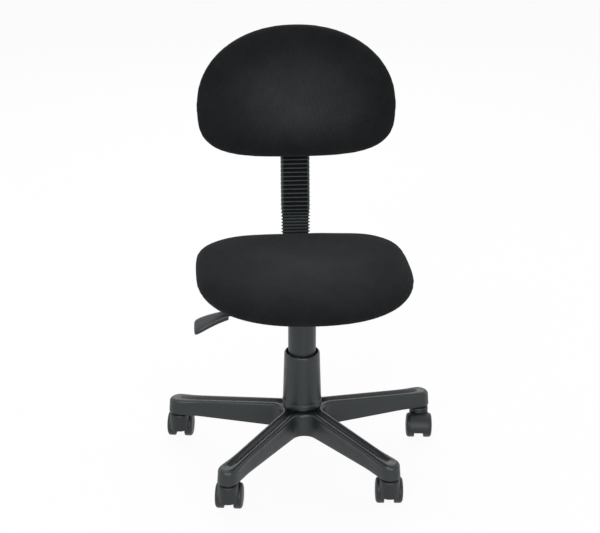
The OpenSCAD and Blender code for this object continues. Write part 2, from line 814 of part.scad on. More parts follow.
module dust_cloth() color(black_fabric) translate([0, 0, cloth_z]) linear_extrude(cloth_t) difference() {
  seat_outline(cloth_share);
  for (x = [-bolt_dx / 2, bolt_dx / 2], y = bolt_y) translate([x, y]) circle(d = nut_barrel_d);
}

// The back bar lies in the x = 0 plane. Along it, s runs from the start of the
// boot's level stretch, round the bend and up the leaning upright.
turn = 90 - lean;
bend_l = bend_r * turn * PI / 180;
bend_end = [bend_start + bend_r * sin(turn), bar_z + bend_r * (1 - cos(turn))];
up_dir = [sin(lean), cos(lean)];
back_mid_z = pan_z0 + back_height;
back_mid_y = bend_end[0] + (back_mid_z - bend_end[1]) * tan(lean);
// The bar still reaches past the clamp with the backrest raised
bar_end = bracket_h / 2 - bracket_below + back_rise + pad_d / 2 + over;
upright_l = (back_mid_z - bend_end[1]) / cos(lean) + bar_end;

function path_point(s) =
  let (level = bend_start - boot_start)
  s < level ? [boot_start + s, bar_z]
  : s < level + bend_l
    ? let (a = (s - level) / bend_r * 180 / PI) [bend_start + bend_r * sin(a), bar_z + bend_r * (1 - cos(a))]
    : bend_end + up_dir * (s - level - bend_l);

function path_tilt(s) =
  let (level = bend_start - boot_start)
  max(0, min(turn, (s - level) / bend_r * 180 / PI));

// The bar's section, with its rolled edges
module bar_section(inset) {
  w = bar_w - 2 * inset;
  t = bar_t - 2 * inset;
  r = bar_t / 4;
  square([w - 2 * r, t], center = true);
  square([w, t - 2 * r], center = true);
  for (x = [-w / 2 + r, w / 2 - r], y = [-t / 2 + r, t / 2 - r]) translate([x, y]) circle(r);
}

module back_bar() color(black_steel) {
  translate([0, bar_front, bar_z]) rotate([-90, 0, 0]) linear_extrude(bend_start - bar_front + bend_lap)
    bar_section(bend_swell);
  translate([0, bend_start, bar_z + bend_r]) rotate([90, 0, 90]) rotate(-90)
    rotate_extrude(angle = turn) translate([bend_r, 0]) rotate(90) bar_section(0);
  translate([0, bend_end[0], bend_end[1]]) rotate([-lean, 0, 0]) translate([0, 0, -bend_lap])
    linear_extrude(upright_l + bend_lap) bar_section(bend_swell);
}

// A ring of the boot: eight points of a rectangle with cut corners
function boot_ring(s, half_w, half_t, corner) =
  let (p = path_point(s), a = path_tilt(s))
  [for (q = [
      [half_w, corner - half_t], [half_w, half_t - corner], [half_w - corner, half_t], [corner - half_w, half_t],
      [-half_w, half_t - corner], [-half_w, corner - half_t], [corner - half_w, -half_t], [half_w - corner, -half_t]
    ])
    [q[0], p[0] - q[1] * sin(a), p[1] + q[1] * cos(a)]];

// The ribs' pitch grows evenly towards the top of the boot
boot_l = bend_start - boot_start + bend_l + (back_mid_z - bracket_below - bend_end[1]) / cos(lean) - boot_lip;
function rib_s(i) = boot_lip / 2 + (boot_l - boot_lip) * (i / boot_ribs) * mix(boot_pitch_share, 1, i / boot_ribs);

module bellows_boot() color(black_rubber) {
  inner_w = boot_w / 2 - rib_h - boot_wall;
  inner_t = boot_t / 2 - rib_h - boot_wall;
  slot_w = bar_w / 2 + gap;
  slot_t = bar_t / 2 + gap;
  bore = concat(
    [boot_ring(0, slot_w, slot_t, bar_t / 8)],
    [boot_ring(boot_lip / 2, slot_w, slot_t, bar_t / 8)],
    [for (i = [0:boot_inner_rings]) boot_ring(mix(boot_lip / 2, boot_l, i / boot_inner_rings), inner_w, inner_t, boot_corner / 2)]
  );
  skin = concat(
    [boot_ring(boot_l, boot_w / 2 - rib_h, boot_t / 2 - rib_h, boot_corner)],
    [for (i = [boot_ribs - 1:-1:0], k = [1, 0])
      let (s = k == 1 ? (rib_s(i) + rib_s(i + 1)) / 2 : rib_s(i), h = k == 1 ? 0 : rib_h)
      boot_ring(s, boot_w / 2 - h, boot_t / 2 - h, boot_corner)],
    [boot_ring(0, boot_w / 2 - rib_h, boot_t / 2 - rib_h, boot_corner)]
  );
  rings = concat(bore, skin);
  count = len(rings);
  polyhedron(
    points = [for (r = rings, p = r) p],
    faces = [for (i = [0:count - 1], j = [0:7], k = [0:1])
      let (a = i * 8 + j, b = i * 8 + (j + 1) % 8, c = ((i + 1) % count) * 8 + (j + 1) % 8, d = ((i + 1) % count) * 8 + j)
      k == 0 ? [a, b, c] : [a, c, d]]
  );
}

// The backrest's own frame: x across, y up along it, z towards the rear, with
// nought at the middle of its rear face
back_rear_y = back_mid_y - bar_behind / cos(lean);

module at_back() translate([0, back_rear_y, back_mid_z]) rotate([90 - lean, 0, 0]) mirror([0, 0, 1]) children();

function back_sag(x) =
  let (half = back_w / 2, t = max(0, abs(x) - back_flat_half) / (half - back_flat_half))
  back_wrap * t * t;

function back_point(a, share) =
  let (
    c = cos(a), s = sin(a),
    n = s > 0 ? back_up_n : back_down_n,
    reach = s > 0 ? back_up : back_down
  )
  [back_w / 2 * share * sign(c) * pow(abs(c), 2 / n), reach * share * sign(s) * pow(abs(s), 2 / n)];

function back_angle(j) = 360 * (j + 0.5) / back_points;

// A ring of the backrest at a share of its outline and a depth from the rear
function back_ring(share, depth) =
  [for (j = [0:back_points - 1])
    let (p = back_point(back_angle(j), share))
    [p[0], p[1], -back_sag(p[0]) - depth]];

// Depth of the padded form's front face at a share of the outline
function back_front(share) = back_t / 2 * (1 + sqrt(max(0, 1 - pow(share, back_edge_n))));

// The rear is flat over the board, then rolls round to the edge
module back_cushion() color(black_fabric) at_back() {
  inner_shares = [for (i = [1:back_inner_steps]) back_board_share * i / back_inner_steps];
  roll = [for (i = [0:back_edge_steps]) 90 * i / back_edge_steps];
  rings = concat(
    [for (s = inner_shares) back_ring(s, back_board_t)],
    [for (a = roll) back_ring(mix(back_board_share, 1, sin(a)), back_t / 2 * (1 - cos(a)))],
    [for (i = [back_edge_steps - 1:-1:1]) let (s = mix(back_board_share, 1, sin(roll[i]))) back_ring(s, back_front(s))],
    [for (i = [back_inner_steps:-1:1]) back_ring(inner_shares[i - 1], back_front(inner_shares[i - 1]))]
  );
  loft([0, 0, -back_board_t], rings, [0, 0, -back_t]);
}

module back_board() color(plywood) at_back() difference() {
  shares = [for (i = [1:back_inner_steps]) back_board_share * i / back_inner_steps];
  loft([0, 0, 0], concat(
    [for (s = shares) back_ring(s, 0)],
    [for (i = [back_inner_steps:-1:1]) back_ring(shares[i - 1], back_board_t)]
  ), [0, 0, -back_board_t], crossed = true);
  at_screws() translate([0, 0, -back_board_t - over]) cylinder(d = screw_d, h = back_board_t + 2 * over);
}

module at_screws() for (x = [-screw_dx / 2, screw_dx / 2], y = [-screw_dz / 2, screw_dz / 2])
  translate([x, bracket_mid + y, 0]) children();

// The bracket: a plate on the board and a box that the bar slides through
bracket_mid = bracket_h / 2 - bracket_below;

module back_bracket() color(black_steel) at_back() translate([0, bracket_mid, 0]) difference() {
  box_t = bar_behind + bar_t / 2 + gap + bracket_wall;
  union() {
    linear_extrude(bracket_plate_t) round_rect(bracket_plate_w, -bracket_h / 2, bracket_h / 2, bracket_corner);
    translate([-bracket_w / 2, -bracket_h / 2, 0]) cube([bracket_w, bracket_h, box_t]);
    translate([0, 0, box_t]) cylinder(d = nut_af / cos(30), h = nut_h, $fn = 6);
  }
  translate([-bar_w / 2 - gap, -bracket_h / 2 - over, bar_behind - bar_t / 2 - gap])
    cube([bar_w + 2 * gap, bracket_h + 2 * over, bar_t + 2 * gap]);
  for (x = [-pocket_w - pocket_wall, pocket_wall], y = [-bracket_h / 2 - over, pocket_wall])
    translate([x, y, bracket_plate_t])
      cube([pocket_w, bracket_h / 2 - pocket_wall + over, bar_behind - bar_t / 2 - gap - bracket_plate_t - pocket_wall]);
  translate([0, 0, bar_behind]) cylinder(d = stud_d + 2 * run_fit, h = box_t);
  translate([0, 0, bar_behind + bar_t / 2]) cylinder(d = pad_d + 2 * gap, h = gap + bracket_wall);
  for (x = [-screw_dx / 2, screw_dx / 2], y = [-screw_dz / 2, screw_dz / 2]) translate([x, y, -over])
    cylinder(d = screw_d, h = bracket_plate_t + 2 * over);
}

module back_screws() color(bright_steel) at_back() at_screws() {
  translate([0, 0, -back_board_t]) cylinder(d = screw_d, h = back_board_t + bracket_plate_t);
  translate([0, 0, bracket_plate_t]) cylinder(d1 = screw_head_d, d2 = screw_head_d - screw_head_h, h = screw_head_h);
}

// A clamp's pad and its knob with the stud, pointing up from the wall's outer
// side at z = 0. The pad fills the wall but for the travel of one turn.
module clamp_pad(wall) translate([0, 0, pad_travel + pad_rest]) cylinder(d = pad_d, h = wall - pad_travel - pad_rest);

module clamp_knob() {
  translate([0, 0, -knob_free - nut_h]) cylinder(d = stud_d, h = knob_free + nut_h + pad_travel);
  translate([0, 0, -knob_free - nut_h - knob_stem_h]) cylinder(d = knob_stem_d, h = knob_stem_h);
  translate([0, 0, -knob_free - nut_h - knob_stem_h - knob_h]) linear_extrude(knob_h) {
    circle(d = knob_d * knob_core_share);
    for (i = [0:knob_lobes - 1]) rotate(360 * i / knob_lobes)
      translate([knob_d * (1 - knob_lobe_share) / 2, 0]) circle(d = knob_d * knob_lobe_share);
    for (i = [0:knob_lobes - 1]) rotate(360 * i / knob_lobes)
      translate([0, -knob_d * knob_lobe_share / 2]) square([knob_d * (1 - knob_lobe_share) / 2, knob_d * knob_lobe_share]);
  }
}

module at_depth_clamp() translate([0, clamp_y, pan_z0]) children();

module at_height_clamp() at_back() translate([0, bracket_mid, bar_behind + bar_t / 2 + gap + bracket_wall])
  mirror([0, 0, 1]) children();

module depth_pad() color(bright_steel) at_depth_clamp() clamp_pad(sheet_t);

module depth_knob() color(nylon) at_depth_clamp() clamp_knob();

module height_pad() color(bright_steel) at_height_clamp() clamp_pad(bracket_wall);

module height_knob() color(nylon) at_height_clamp() clamp_knob();

// Casters. In a caster's own frame the stem is at the origin and the axle lies
// along x, behind the stem.
module at_caster(i) rotate(arm_angles[i - 1]) translate([stem_ring_r, 0, 0])
  rotate(caster_yaws[i - 1] - arm_angles[i - 1]) children();

module caster_stem(i) color(bright_steel) at_caster(i) {
  translate([0, 0, stem_low]) cylinder(d = stem_d, h = base_z - stem_low + socket_depth);
  translate([0, 0, head_z + gap]) cylinder(d = flange_d, h = flange_t);
}

// The hood: a round front under the arm's tip and a mudguard over the wheels,
// hollowed where the wheels run, on a web that holds the stem and the axle
guard_r = wheel_d / 2 + tread_gap + hood_wall;

module caster_hood(i) color(nylon) at_caster(i) difference() {
  union() {
    translate([0, 0, hood_lip_z]) cylinder(d = hood_d, h = head_z - hood_lip_z - collar_flat);
    translate([0, 0, head_z - collar_flat]) cylinder(d1 = hood_d, d2 = hood_d - collar_flat, h = collar_flat);
    translate([0, caster_trail, axle_z]) rotate([0, 90, 0]) intersection() {
      cylinder(r = guard_r, h = hood_d, center = true);
      guard_wedge();
    }
    translate([0, caster_trail, axle_z]) rotate([0, 90, 0]) cylinder(r = web_chin, h = web_w, center = true);
    translate([-web_w / 2, -hood_d / 4, hood_lip_z - web_chin / 2]) cube([web_w, caster_trail + hood_d / 4, web_chin]);
  }
  for (s = [-1, 1]) translate([s > 0 ? web_w / 2 : -web_w / 2 - hood_d, caster_trail, axle_z]) rotate([0, 90, 0])
    cylinder(r = wheel_d / 2 + tread_gap, h = hood_d);
  translate([0, 0, stem_low - gap]) cylinder(d = stem_d + 2 * run_fit, h = head_z);
  translate([-web_w, caster_trail, axle_z]) rotate([0, 90, 0]) cylinder(d = axle_d, h = 2 * web_w);
}

// The mudguard covers the wheels from the front over the top to low behind.
// It is drawn in the plane of the wheel, with x down and y to the rear.
module guard_wedge() linear_extrude(2 * hood_d, center = true) polygon([
  [guard_r * sin(hood_rear_angle), guard_r * 2],
  [guard_r * sin(hood_rear_angle), web_chin / 2],
  [0, 0],
  [0, -guard_r * 2],
  [-guard_r * 2, -guard_r * 2],
  [-guard_r * 2, guard_r * 2]
]);

module caster_axle(i) color(bright_steel) at_caster(i) translate([0, caster_trail, axle_z]) rotate([0, 90, 0])
  cylinder(d = axle_d, h = web_w + 2 * (wheel_gap + wheel_hub_l), center = true);

// A wheel: a tread with a domed outer face, a hub on the axle and a hollow
// inner side. Its axis is z here, and z = 0 is its inner side.
module wheel_body() {
  r = wheel_d / 2;
  bore = axle_d / 2 + run_fit;
  rotate_extrude() polygon(concat(
    [[bore, 0], [bore + wheel_hub_wall, 0], [bore + wheel_hub_wall, wheel_w - wheel_crown - wheel_plate],
     [r - wheel_rim, wheel_w - wheel_crown - wheel_plate], [r - wheel_rim, 0], [r - wheel_edge / 2, 0],
     [r, wheel_edge / 2]],
    [for (a = [0:15:90]) [r - wheel_dome * (1 - cos(a)), wheel_w - wheel_dome + (wheel_dome - wheel_edge / 2) * sin(a)]],
    [[r / 2, wheel_w], [0, wheel_w], [0, wheel_hub_l + gap], [bore, wheel_hub_l + gap]]
  ));
}

module wheel(i, side) color(nylon) at_caster(i)
  translate([side * (web_w / 2 + wheel_gap), caster_trail, axle_z]) rotate([0, side * 90, 0]) wheel_body();

base_star();
column_tube();
guide_bush();
lower_cover();
lower_race();
bearing_cage();
bearing_balls();
upper_race();
bump_stop();
piston_rod();
retaining_clip();
gas_cylinder();
release_button();
upper_cover();
mechanism();
lever_pin();
lever_rod();
lever_paddle();
seat_bolts();
t_nuts();
dust_cloth();
seat_board();
seat_cushion();
back_bar();
bellows_boot();
back_bracket();
back_screws();
back_board();
back_cushion();
depth_pad();
depth_knob();
height_pad();
height_knob();
caster_stem(1);  // caster_stem_1
caster_stem(2);  // caster_stem_2
caster_stem(3);  // caster_stem_3
caster_stem(4);  // caster_stem_4
caster_stem(5);  // caster_stem_5
caster_hood(1);  // caster_hood_1
caster_hood(2);  // caster_hood_2
caster_hood(3);  // caster_hood_3
caster_hood(4);  // caster_hood_4
caster_hood(5);  // caster_hood_5
caster_axle(1);  // caster_axle_1
caster_axle(2);  // caster_axle_2
caster_axle(3);  // caster_axle_3
caster_axle(4);  // caster_axle_4
caster_axle(5);  // caster_axle_5
wheel(1, -1);  // wheel_left_1
wheel(2, -1);  // wheel_left_2
wheel(3, -1);  // wheel_left_3
wheel(4, -1);  // wheel_left_4
wheel(5, -1);  // wheel_left_5
wheel(1, 1);  // wheel_right_1
wheel(2, 1);  // wheel_right_2
wheel(3, 1);  // wheel_right_3
wheel(4, 1);  // wheel_right_4
wheel(5, 1);  // wheel_right_5
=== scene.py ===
import json
import math
import bmesh
import bpy
import numpy as np
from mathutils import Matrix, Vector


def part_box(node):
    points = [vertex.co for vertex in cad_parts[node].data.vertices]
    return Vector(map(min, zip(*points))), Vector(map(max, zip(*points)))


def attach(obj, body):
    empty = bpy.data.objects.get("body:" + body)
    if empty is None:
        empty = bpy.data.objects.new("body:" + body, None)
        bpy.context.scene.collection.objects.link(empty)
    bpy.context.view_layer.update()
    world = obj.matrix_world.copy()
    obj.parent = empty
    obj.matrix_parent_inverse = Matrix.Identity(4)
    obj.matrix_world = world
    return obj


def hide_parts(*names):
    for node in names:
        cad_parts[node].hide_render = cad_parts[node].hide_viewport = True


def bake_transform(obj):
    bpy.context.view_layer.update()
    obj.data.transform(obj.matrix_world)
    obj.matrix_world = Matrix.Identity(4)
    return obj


# Typist chair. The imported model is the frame, and this script dresses it. Sizes in the dictionaries are in
# millimetres and degrees unless a note says otherwise, and meshes are in metres.
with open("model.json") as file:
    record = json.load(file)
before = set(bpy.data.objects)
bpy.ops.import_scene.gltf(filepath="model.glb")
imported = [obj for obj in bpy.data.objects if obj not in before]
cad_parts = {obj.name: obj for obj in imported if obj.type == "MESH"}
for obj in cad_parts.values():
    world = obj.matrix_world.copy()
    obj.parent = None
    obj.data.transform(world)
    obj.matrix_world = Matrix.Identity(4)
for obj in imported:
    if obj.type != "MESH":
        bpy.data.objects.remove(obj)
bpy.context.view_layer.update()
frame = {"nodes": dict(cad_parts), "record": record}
nodes = frame["nodes"]
print("frame loaded:", len(nodes), "nodes")

scene = bpy.context.scene
scene.view_settings.view_transform = "Standard"
mm = 0.001


# Camera: fitted to the arm tips, the casters and the column of the photograph
cameraView = {
    "place": (-0.17095, -2.6535, 1.518),
    "turn": 3.6,  # degrees to the right of straight ahead
    "pitch": 22.6,  # degrees below level
    "lens": 89.88,
}


def makeCamera(view):
    data = bpy.data.cameras.new("camera")
    data.sensor_fit = "HORIZONTAL"
    data.sensor_width = 36
    data.lens = view["lens"]
    data.clip_end = 60
    camera = bpy.data.objects.new("camera", data)
    camera.location = view["place"]
    camera.rotation_euler = (math.radians(90 - view["pitch"]), 0, math.radians(-view["turn"]))
    scene.collection.objects.link(camera)
    scene.camera = camera


makeCamera(cameraView)

# Surfaces from arrays


# A mesh object from points and faces, at the origin
def addMesh(name, points, faces):
    mesh = bpy.data.meshes.new(name)
    mesh.from_pydata(points.reshape(-1, 3).tolist(), [], faces)
    mesh.update()
    piece = bpy.data.objects.new(name, mesh)
    scene.collection.objects.link(piece)
    return piece


# Six times the enclosed volume, from the triangles of each face about its first corner
def signedVolume(points, faces):
    total = 0.0
    for count in (3, 4):
        some = np.array([f for f in faces if len(f) == count], int)
        if len(some):
            a = points[some[:, 0]]
            for k in range(1, count - 1):
                total += np.einsum("ij,ij->", a, np.cross(points[some[:, k]], points[some[:, k + 1]]))
    return total


# Four-sided faces between each ring and the next
def ringFaces(rows, cols, loopRows=False):
    last = rows if loopRows else rows - 1
    r, c = np.meshgrid(np.arange(last), np.arange(cols), indexing="ij")
    a = r * cols + c
    b = r * cols + (c + 1) % cols
    d = ((r + 1) % rows) * cols + c
    e = ((r + 1) % rows) * cols + (c + 1) % cols
    return np.stack([a, b, e, d], -1).reshape(-1, 4)


# Rings of points, closed round. A pole in the middle of each end ring closes the ends, or the last ring
# joins the first. Faces turn outwards.
def ringSurface(name, rings, poles=True, loopRows=False):
    rings = np.asarray(rings, float)
    rows, cols, _ = rings.shape
    quads = ringFaces(rows, cols, loopRows).tolist()
    points = rings.reshape(-1, 3)
    if poles and not loopRows:
        ends = np.stack([rings[0].mean(0), rings[-1].mean(0)])
        points = np.concatenate([points, ends])
        first, last = rows * cols, rows * cols + 1
        c = np.arange(cols)
        n = (c + 1) % cols
        quads += np.stack([np.full(cols, first), n, c], -1).tolist()
        base = (rows - 1) * cols
        quads += np.stack([np.full(cols, last), base + c, base + n], -1).tolist()
    if signedVolume(points, quads) < 0:
        quads = [f[::-1] for f in quads]
    return addMesh(name, points, quads)


# A profile of (radius, height) turned about +Z
def turned(name, profile, steps=96, loopRows=False):
    profile = np.asarray(profile, float)
    a = np.linspace(0, 2 * np.pi, steps, endpoint=False)
    rings = np.stack([
        profile[:, 0, None] * np.cos(a),
        profile[:, 0, None] * np.sin(a),
        np.repeat(profile[:, 1, None], steps, 1),
    ], -1)
    return ringSurface(name, rings, loopRows=loopRows)


# Smooth step: 3 t^2 - 2 t^3 between 0 and 1, and flat outside
def ease(t):
    t = np.clip(t, 0, 1)
    return t * t * (3 - 2 * t)


# Straight mix: a at t = 0 and b at t = 1
def mix(a, b, t):
    return a + (b - a) * t


def readPoints(mesh):
    points = np.zeros(len(mesh.vertices) * 3)
    mesh.vertices.foreach_get("co", points)
    return points.reshape(-1, 3)


def writePoints(mesh, points):
    mesh.vertices.foreach_set("co", points.astype(np.float32).ravel())
    mesh.update()


# Turns a piece's points from its own axes, the rows of axes, into the frame's, and moves them to origin
def place(piece, axes, origin):
    writePoints(piece.data, readPoints(piece.data) @ np.array(axes, float) + np.array(origin, float))


# One material, and smooth shading up to an angle between faces
def dress(piece, material, sharp):
    mesh = piece.data
    mesh.materials.clear()
    mesh.materials.append(material)
    mesh.polygons.foreach_set("use_smooth", np.ones(len(mesh.polygons), bool))
    if sharp:
        mesh.set_sharp_from_angle(angle=math.radians(sharp))
    mesh.update()


# A made piece: its look, the body it rides on and the CAD nodes that it stands for
def finish(piece, body, material, hides=(), sharp=38):
    dress(piece, material, sharp)
    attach(piece, body)
    if hides:
        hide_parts(*hides)
    return piece


# Materials


class Shader:
    def __init__(self, name):
        self.material = bpy.data.materials.new(name)
        self.material.use_nodes = True
        self.tree = self.material.node_tree
        self.surface = self.tree.nodes["Principled BSDF"]

    def add(self, kind, **values):
        node = self.tree.nodes.new(kind)
        for key, value in values.items():
            if key in node.inputs:
                node.inputs[key].default_value = value
            else:
                setattr(node, key, value)
        return node

    def join(self, source, target):
        self.tree.links.new(source, target)

    def coords(self, kind="Object"):
        return self.add("ShaderNodeTexCoord").outputs[kind]

    def noise(self, where, scale, detail=2.0, roughness=0.5):
        node = self.add("ShaderNodeTexNoise")
        node.inputs["Scale"].default_value = scale
        node.inputs["Detail"].default_value = detail
        node.inputs["Roughness"].default_value = roughness
        self.join(where, node.inputs["Vector"])
        return node.outputs["Fac"]

    def ramp(self, source, stops):
        node = self.add("ShaderNodeValToRGB")
        while len(node.color_ramp.elements) < len(stops):
            node.color_ramp.elements.new(0.5)
        for element, (at, colour) in zip(node.color_ramp.elements, stops):
            element.position = at
            element.color = (*colour, 1)
        self.join(source, node.inputs["Fac"])
        return node.outputs["Color"]

    def maths(self, operation, a, b=None, clamp=False):
        node = self.add("ShaderNodeMath", operation=operation, use_clamp=clamp)
        for k, value in enumerate((a, b)):
            if value is None:
                continue
            if isinstance(value, (int, float)):
                node.inputs[k].default_value = value
            else:
                self.join(value, node.inputs[k])
        return node.outputs[0]

    def range(self, source, low, high, toLow, toHigh):
        node = self.add("ShaderNodeMapRange")
        for key, value in (("From Min", low), ("From Max", high), ("To Min", toLow), ("To Max", toHigh)):
            node.inputs[key].default_value = value
        self.join(source, node.inputs["Value"])
        return node.outputs["Result"]

    def bump(self, height, distance, strength, under=None):
        node = self.add("ShaderNodeBump")
        node.inputs["Distance"].default_value = distance
        node.inputs["Strength"].default_value = strength
        self.join(height, node.inputs["Height"])
        if under is not None:
            self.join(under, node.inputs["Normal"])
        return node.outputs["Normal"]

    def shade(self, source, colour, *stops):  # base colour, each stop a place on the source and a factor
        self.join(self.ramp(source, [(at, tint(colour, factor)) for at, factor in stops]),
                  self.surface.inputs["Base Color"])

    def gloss(self, source, low, high, rough, less, more):  # roughness from rough - less to rough + more
        self.join(self.range(source, low, high, rough - less, rough + more), self.surface.inputs["Roughness"])


def tint(colour, factor):
    return tuple(min(1.0, c * factor) for c in colour)


# Moulded plastic: a fine eroded grain, faint flow clouds and slightly uneven gloss
def mouldedPlastic(name, look):
    s = Shader(name)
    where = s.coords()
    clouds = s.noise(where, 9, 3)
    grain = s.noise(where, 1400, 2)
    scuff = s.noise(where, 60, 4, 0.6)
    s.shade(clouds, look["colour"], (0.3, 0.93), (0.7, 1.07))
    s.gloss(scuff, 0.35, 0.7, look["rough"], 0.04, 0.07)
    soft = s.bump(scuff, 0.0002, 0.12)
    s.join(s.bump(grain, 0.00006, look["grain"], soft), s.surface.inputs["Normal"])
    s.surface.inputs["Specular IOR Level"].default_value = look["gloss"]
    return s.material


# Powder coat: orange peel over steel
def powderCoat(name, look):
    s = Shader(name)
    where = s.coords()
    peel = s.noise(where, 900, 2)
    wear = s.noise(where, 35, 4, 0.6)
    s.shade(wear, look["colour"], (0.35, 0.9), (0.72, 1.15))
    s.gloss(wear, 0.3, 0.7, look["rough"], 0.05, 0.08)
    s.join(s.bump(peel, 0.00008, 0.35), s.surface.inputs["Normal"])
    return s.material


# Zinc-plated steel: metal with a drawn grain along Z and a patchy plating tone
def platedSteel(name, look):
    s = Shader(name)
    where = s.coords()
    stretch = s.add("ShaderNodeMapping")
    stretch.inputs["Scale"].default_value = (1, 1, 0.08)
    s.join(where, stretch.inputs["Vector"])
    drawn = s.noise(stretch.outputs["Vector"], 1600, 3)
    patch = s.noise(where, 120, 3)
    s.shade(patch, look["colour"], (0.3, 0.88), (0.7, 1.05))
    s.gloss(drawn, 0.3, 0.7, look["rough"], 0.06, 0.1)
    s.join(s.bump(drawn, 0.00004, 0.3), s.surface.inputs["Normal"])
    s.surface.inputs["Metallic"].default_value = 1.0
    return s.material


# Rubber: matt, with a bloom that is paler in patches
def mouldedRubber(name, look):
    s = Shader(name)
    where = s.coords()
    bloom = s.noise(where, 70, 4, 0.6)
    grain = s.noise(where, 1100, 2)
    s.shade(bloom, look["colour"], (0.3, 0.85), (0.75, 1.2))
    s.gloss(bloom, 0.3, 0.7, look["rough"], 0.05, 0.08)
    s.join(s.bump(grain, 0.00008, 0.3), s.surface.inputs["Normal"])
    return s.material


# Ribbed rubber: the crests are painted pale, a painted highlight, and the furrows dark, a painted shade; the
# crests are also satin and the furrows dull. The piece says by its crest attribute which is which.
def ribbedRubber(name, look):
    s = Shader(name)
    where = s.coords()
    crest = s.add("ShaderNodeAttribute", attribute_name="crest").outputs["Fac"]
    bloom = s.noise(where, 90, 4, 0.6)
    grain = s.noise(where, 1100, 2)
    tone = s.maths("MULTIPLY", crest, s.range(bloom, 0.3, 0.7, 0.8, 1.1))
    s.join(s.ramp(tone, [(0.0, look["valley"]), (1.0, look["crest"])]), s.surface.inputs["Base Color"])
    s.join(s.range(crest, 0, 1, look["rough"] + 0.25, look["rough"]), s.surface.inputs["Roughness"])
    s.join(s.range(crest, 0, 1, 0.08, 0.4), s.surface.inputs["Specular IOR Level"])
    s.join(s.bump(grain, 0.00008, 0.3), s.surface.inputs["Normal"])
    return s.material


# Plywood: plies across the edge, and a figured face grain along X
def plyBoard(name, look):
    s = Shader(name)
    where = s.coords()
    stretch = s.add("ShaderNodeMapping")
    stretch.inputs["Scale"].default_value = (0.12, 1, 1)
    s.join(where, stretch.inputs["Vector"])
    figure = s.noise(stretch.outputs["Vector"], 160, 5, 0.65)
    s.shade(figure, look["colour"], (0.3, 0.7), (0.5, 1), (0.72, 1.15))
    s.join(s.bump(figure, 0.0002, 0.3), s.surface.inputs["Normal"])
    s.surface.inputs["Roughness"].default_value = 0.7
    return s.material


# Woven cloth on the piece's own UV map, in metres: warp and weft threads cross in a plain weave, each thread
# round across its width, with a melange of tones. A field of the pad's paints its rim darker than its middle,
# a painted light
def wovenCloth(name, look):
    s = Shader(name)
    uv = s.coords("UV")
    split = s.add("ShaderNodeSeparateXYZ")
    s.join(uv, split.inputs["Vector"])
    turns = math.pi / look["thread"]
    u = s.maths("MULTIPLY", split.outputs["X"], turns)
    v = s.maths("MULTIPLY", split.outputs["Y"], turns)
    waveU = s.maths("SINE", u)
    waveV = s.maths("SINE", v)
    over = s.maths("GREATER_THAN", s.maths("MULTIPLY", waveU, waveV), 0.0)
    roundU = s.maths("ABSOLUTE", waveU)
    roundV = s.maths("ABSOLUTE", waveV)
    crownU = s.maths("MULTIPLY", roundU, s.maths("ADD", s.maths("MULTIPLY", roundV, 0.35), 0.65))
    crownV = s.maths("MULTIPLY", roundV, s.maths("ADD", s.maths("MULTIPLY", roundU, 0.35), 0.65))
    weave = s.maths("ADD", s.maths("MULTIPLY", crownU, over),
                    s.maths("MULTIPLY", crownV, s.maths("SUBTRACT", 1.0, over)))
    streaks = s.add("ShaderNodeMapping")
    streaks.inputs["Scale"].default_value = (1, 0.06, 1)
    s.join(uv, streaks.inputs["Vector"])
    yarn = s.noise(streaks.outputs["Vector"], 900, 2)
    melange = s.noise(uv, 420, 3, 0.7)
    clouds = s.noise(uv, 14, 3, 0.55)
    tone = s.maths("ADD", s.maths("MULTIPLY", melange, 0.5),
                   s.maths("ADD", s.maths("MULTIPLY", yarn, 0.25), s.maths("MULTIPLY", clouds, 0.25)))
    # Painted shade: the tone is darker in the gaps between the threads and paler on their crowns
    tone = s.maths("MULTIPLY", tone, s.maths("ADD", s.maths("MULTIPLY", weave, 0.45), 0.62))
    paintedSheen = s.add("ShaderNodeAttribute", attribute_name="paintedSheen").outputs["Fac"]  # painted light: the rim is painted darker than the middle, as if the middle caught more light
    tone = s.maths("MULTIPLY", tone, s.range(paintedSheen, 0, 1, look["paintedRimShade"], 1.0))
    s.join(s.ramp(tone, [(0.15, look["dark"]), (0.62, look["light"])]), s.surface.inputs["Base Color"])
    s.surface.inputs["Roughness"].default_value = look["rough"]
    s.surface.inputs["Specular IOR Level"].default_value = look["gloss"]
    s.surface.inputs["Sheen Weight"].default_value = look["sheen"]
    s.surface.inputs["Sheen Roughness"].default_value = 0.45
    s.surface.inputs["Sheen Tint"].default_value = (0.8, 0.86, 0.9, 1)
    fuzz = s.bump(melange, 0.0003, 0.35)
    s.join(s.bump(weave, look["thread"] * 0.35, 0.55, fuzz), s.surface.inputs["Normal"])
    return s.material


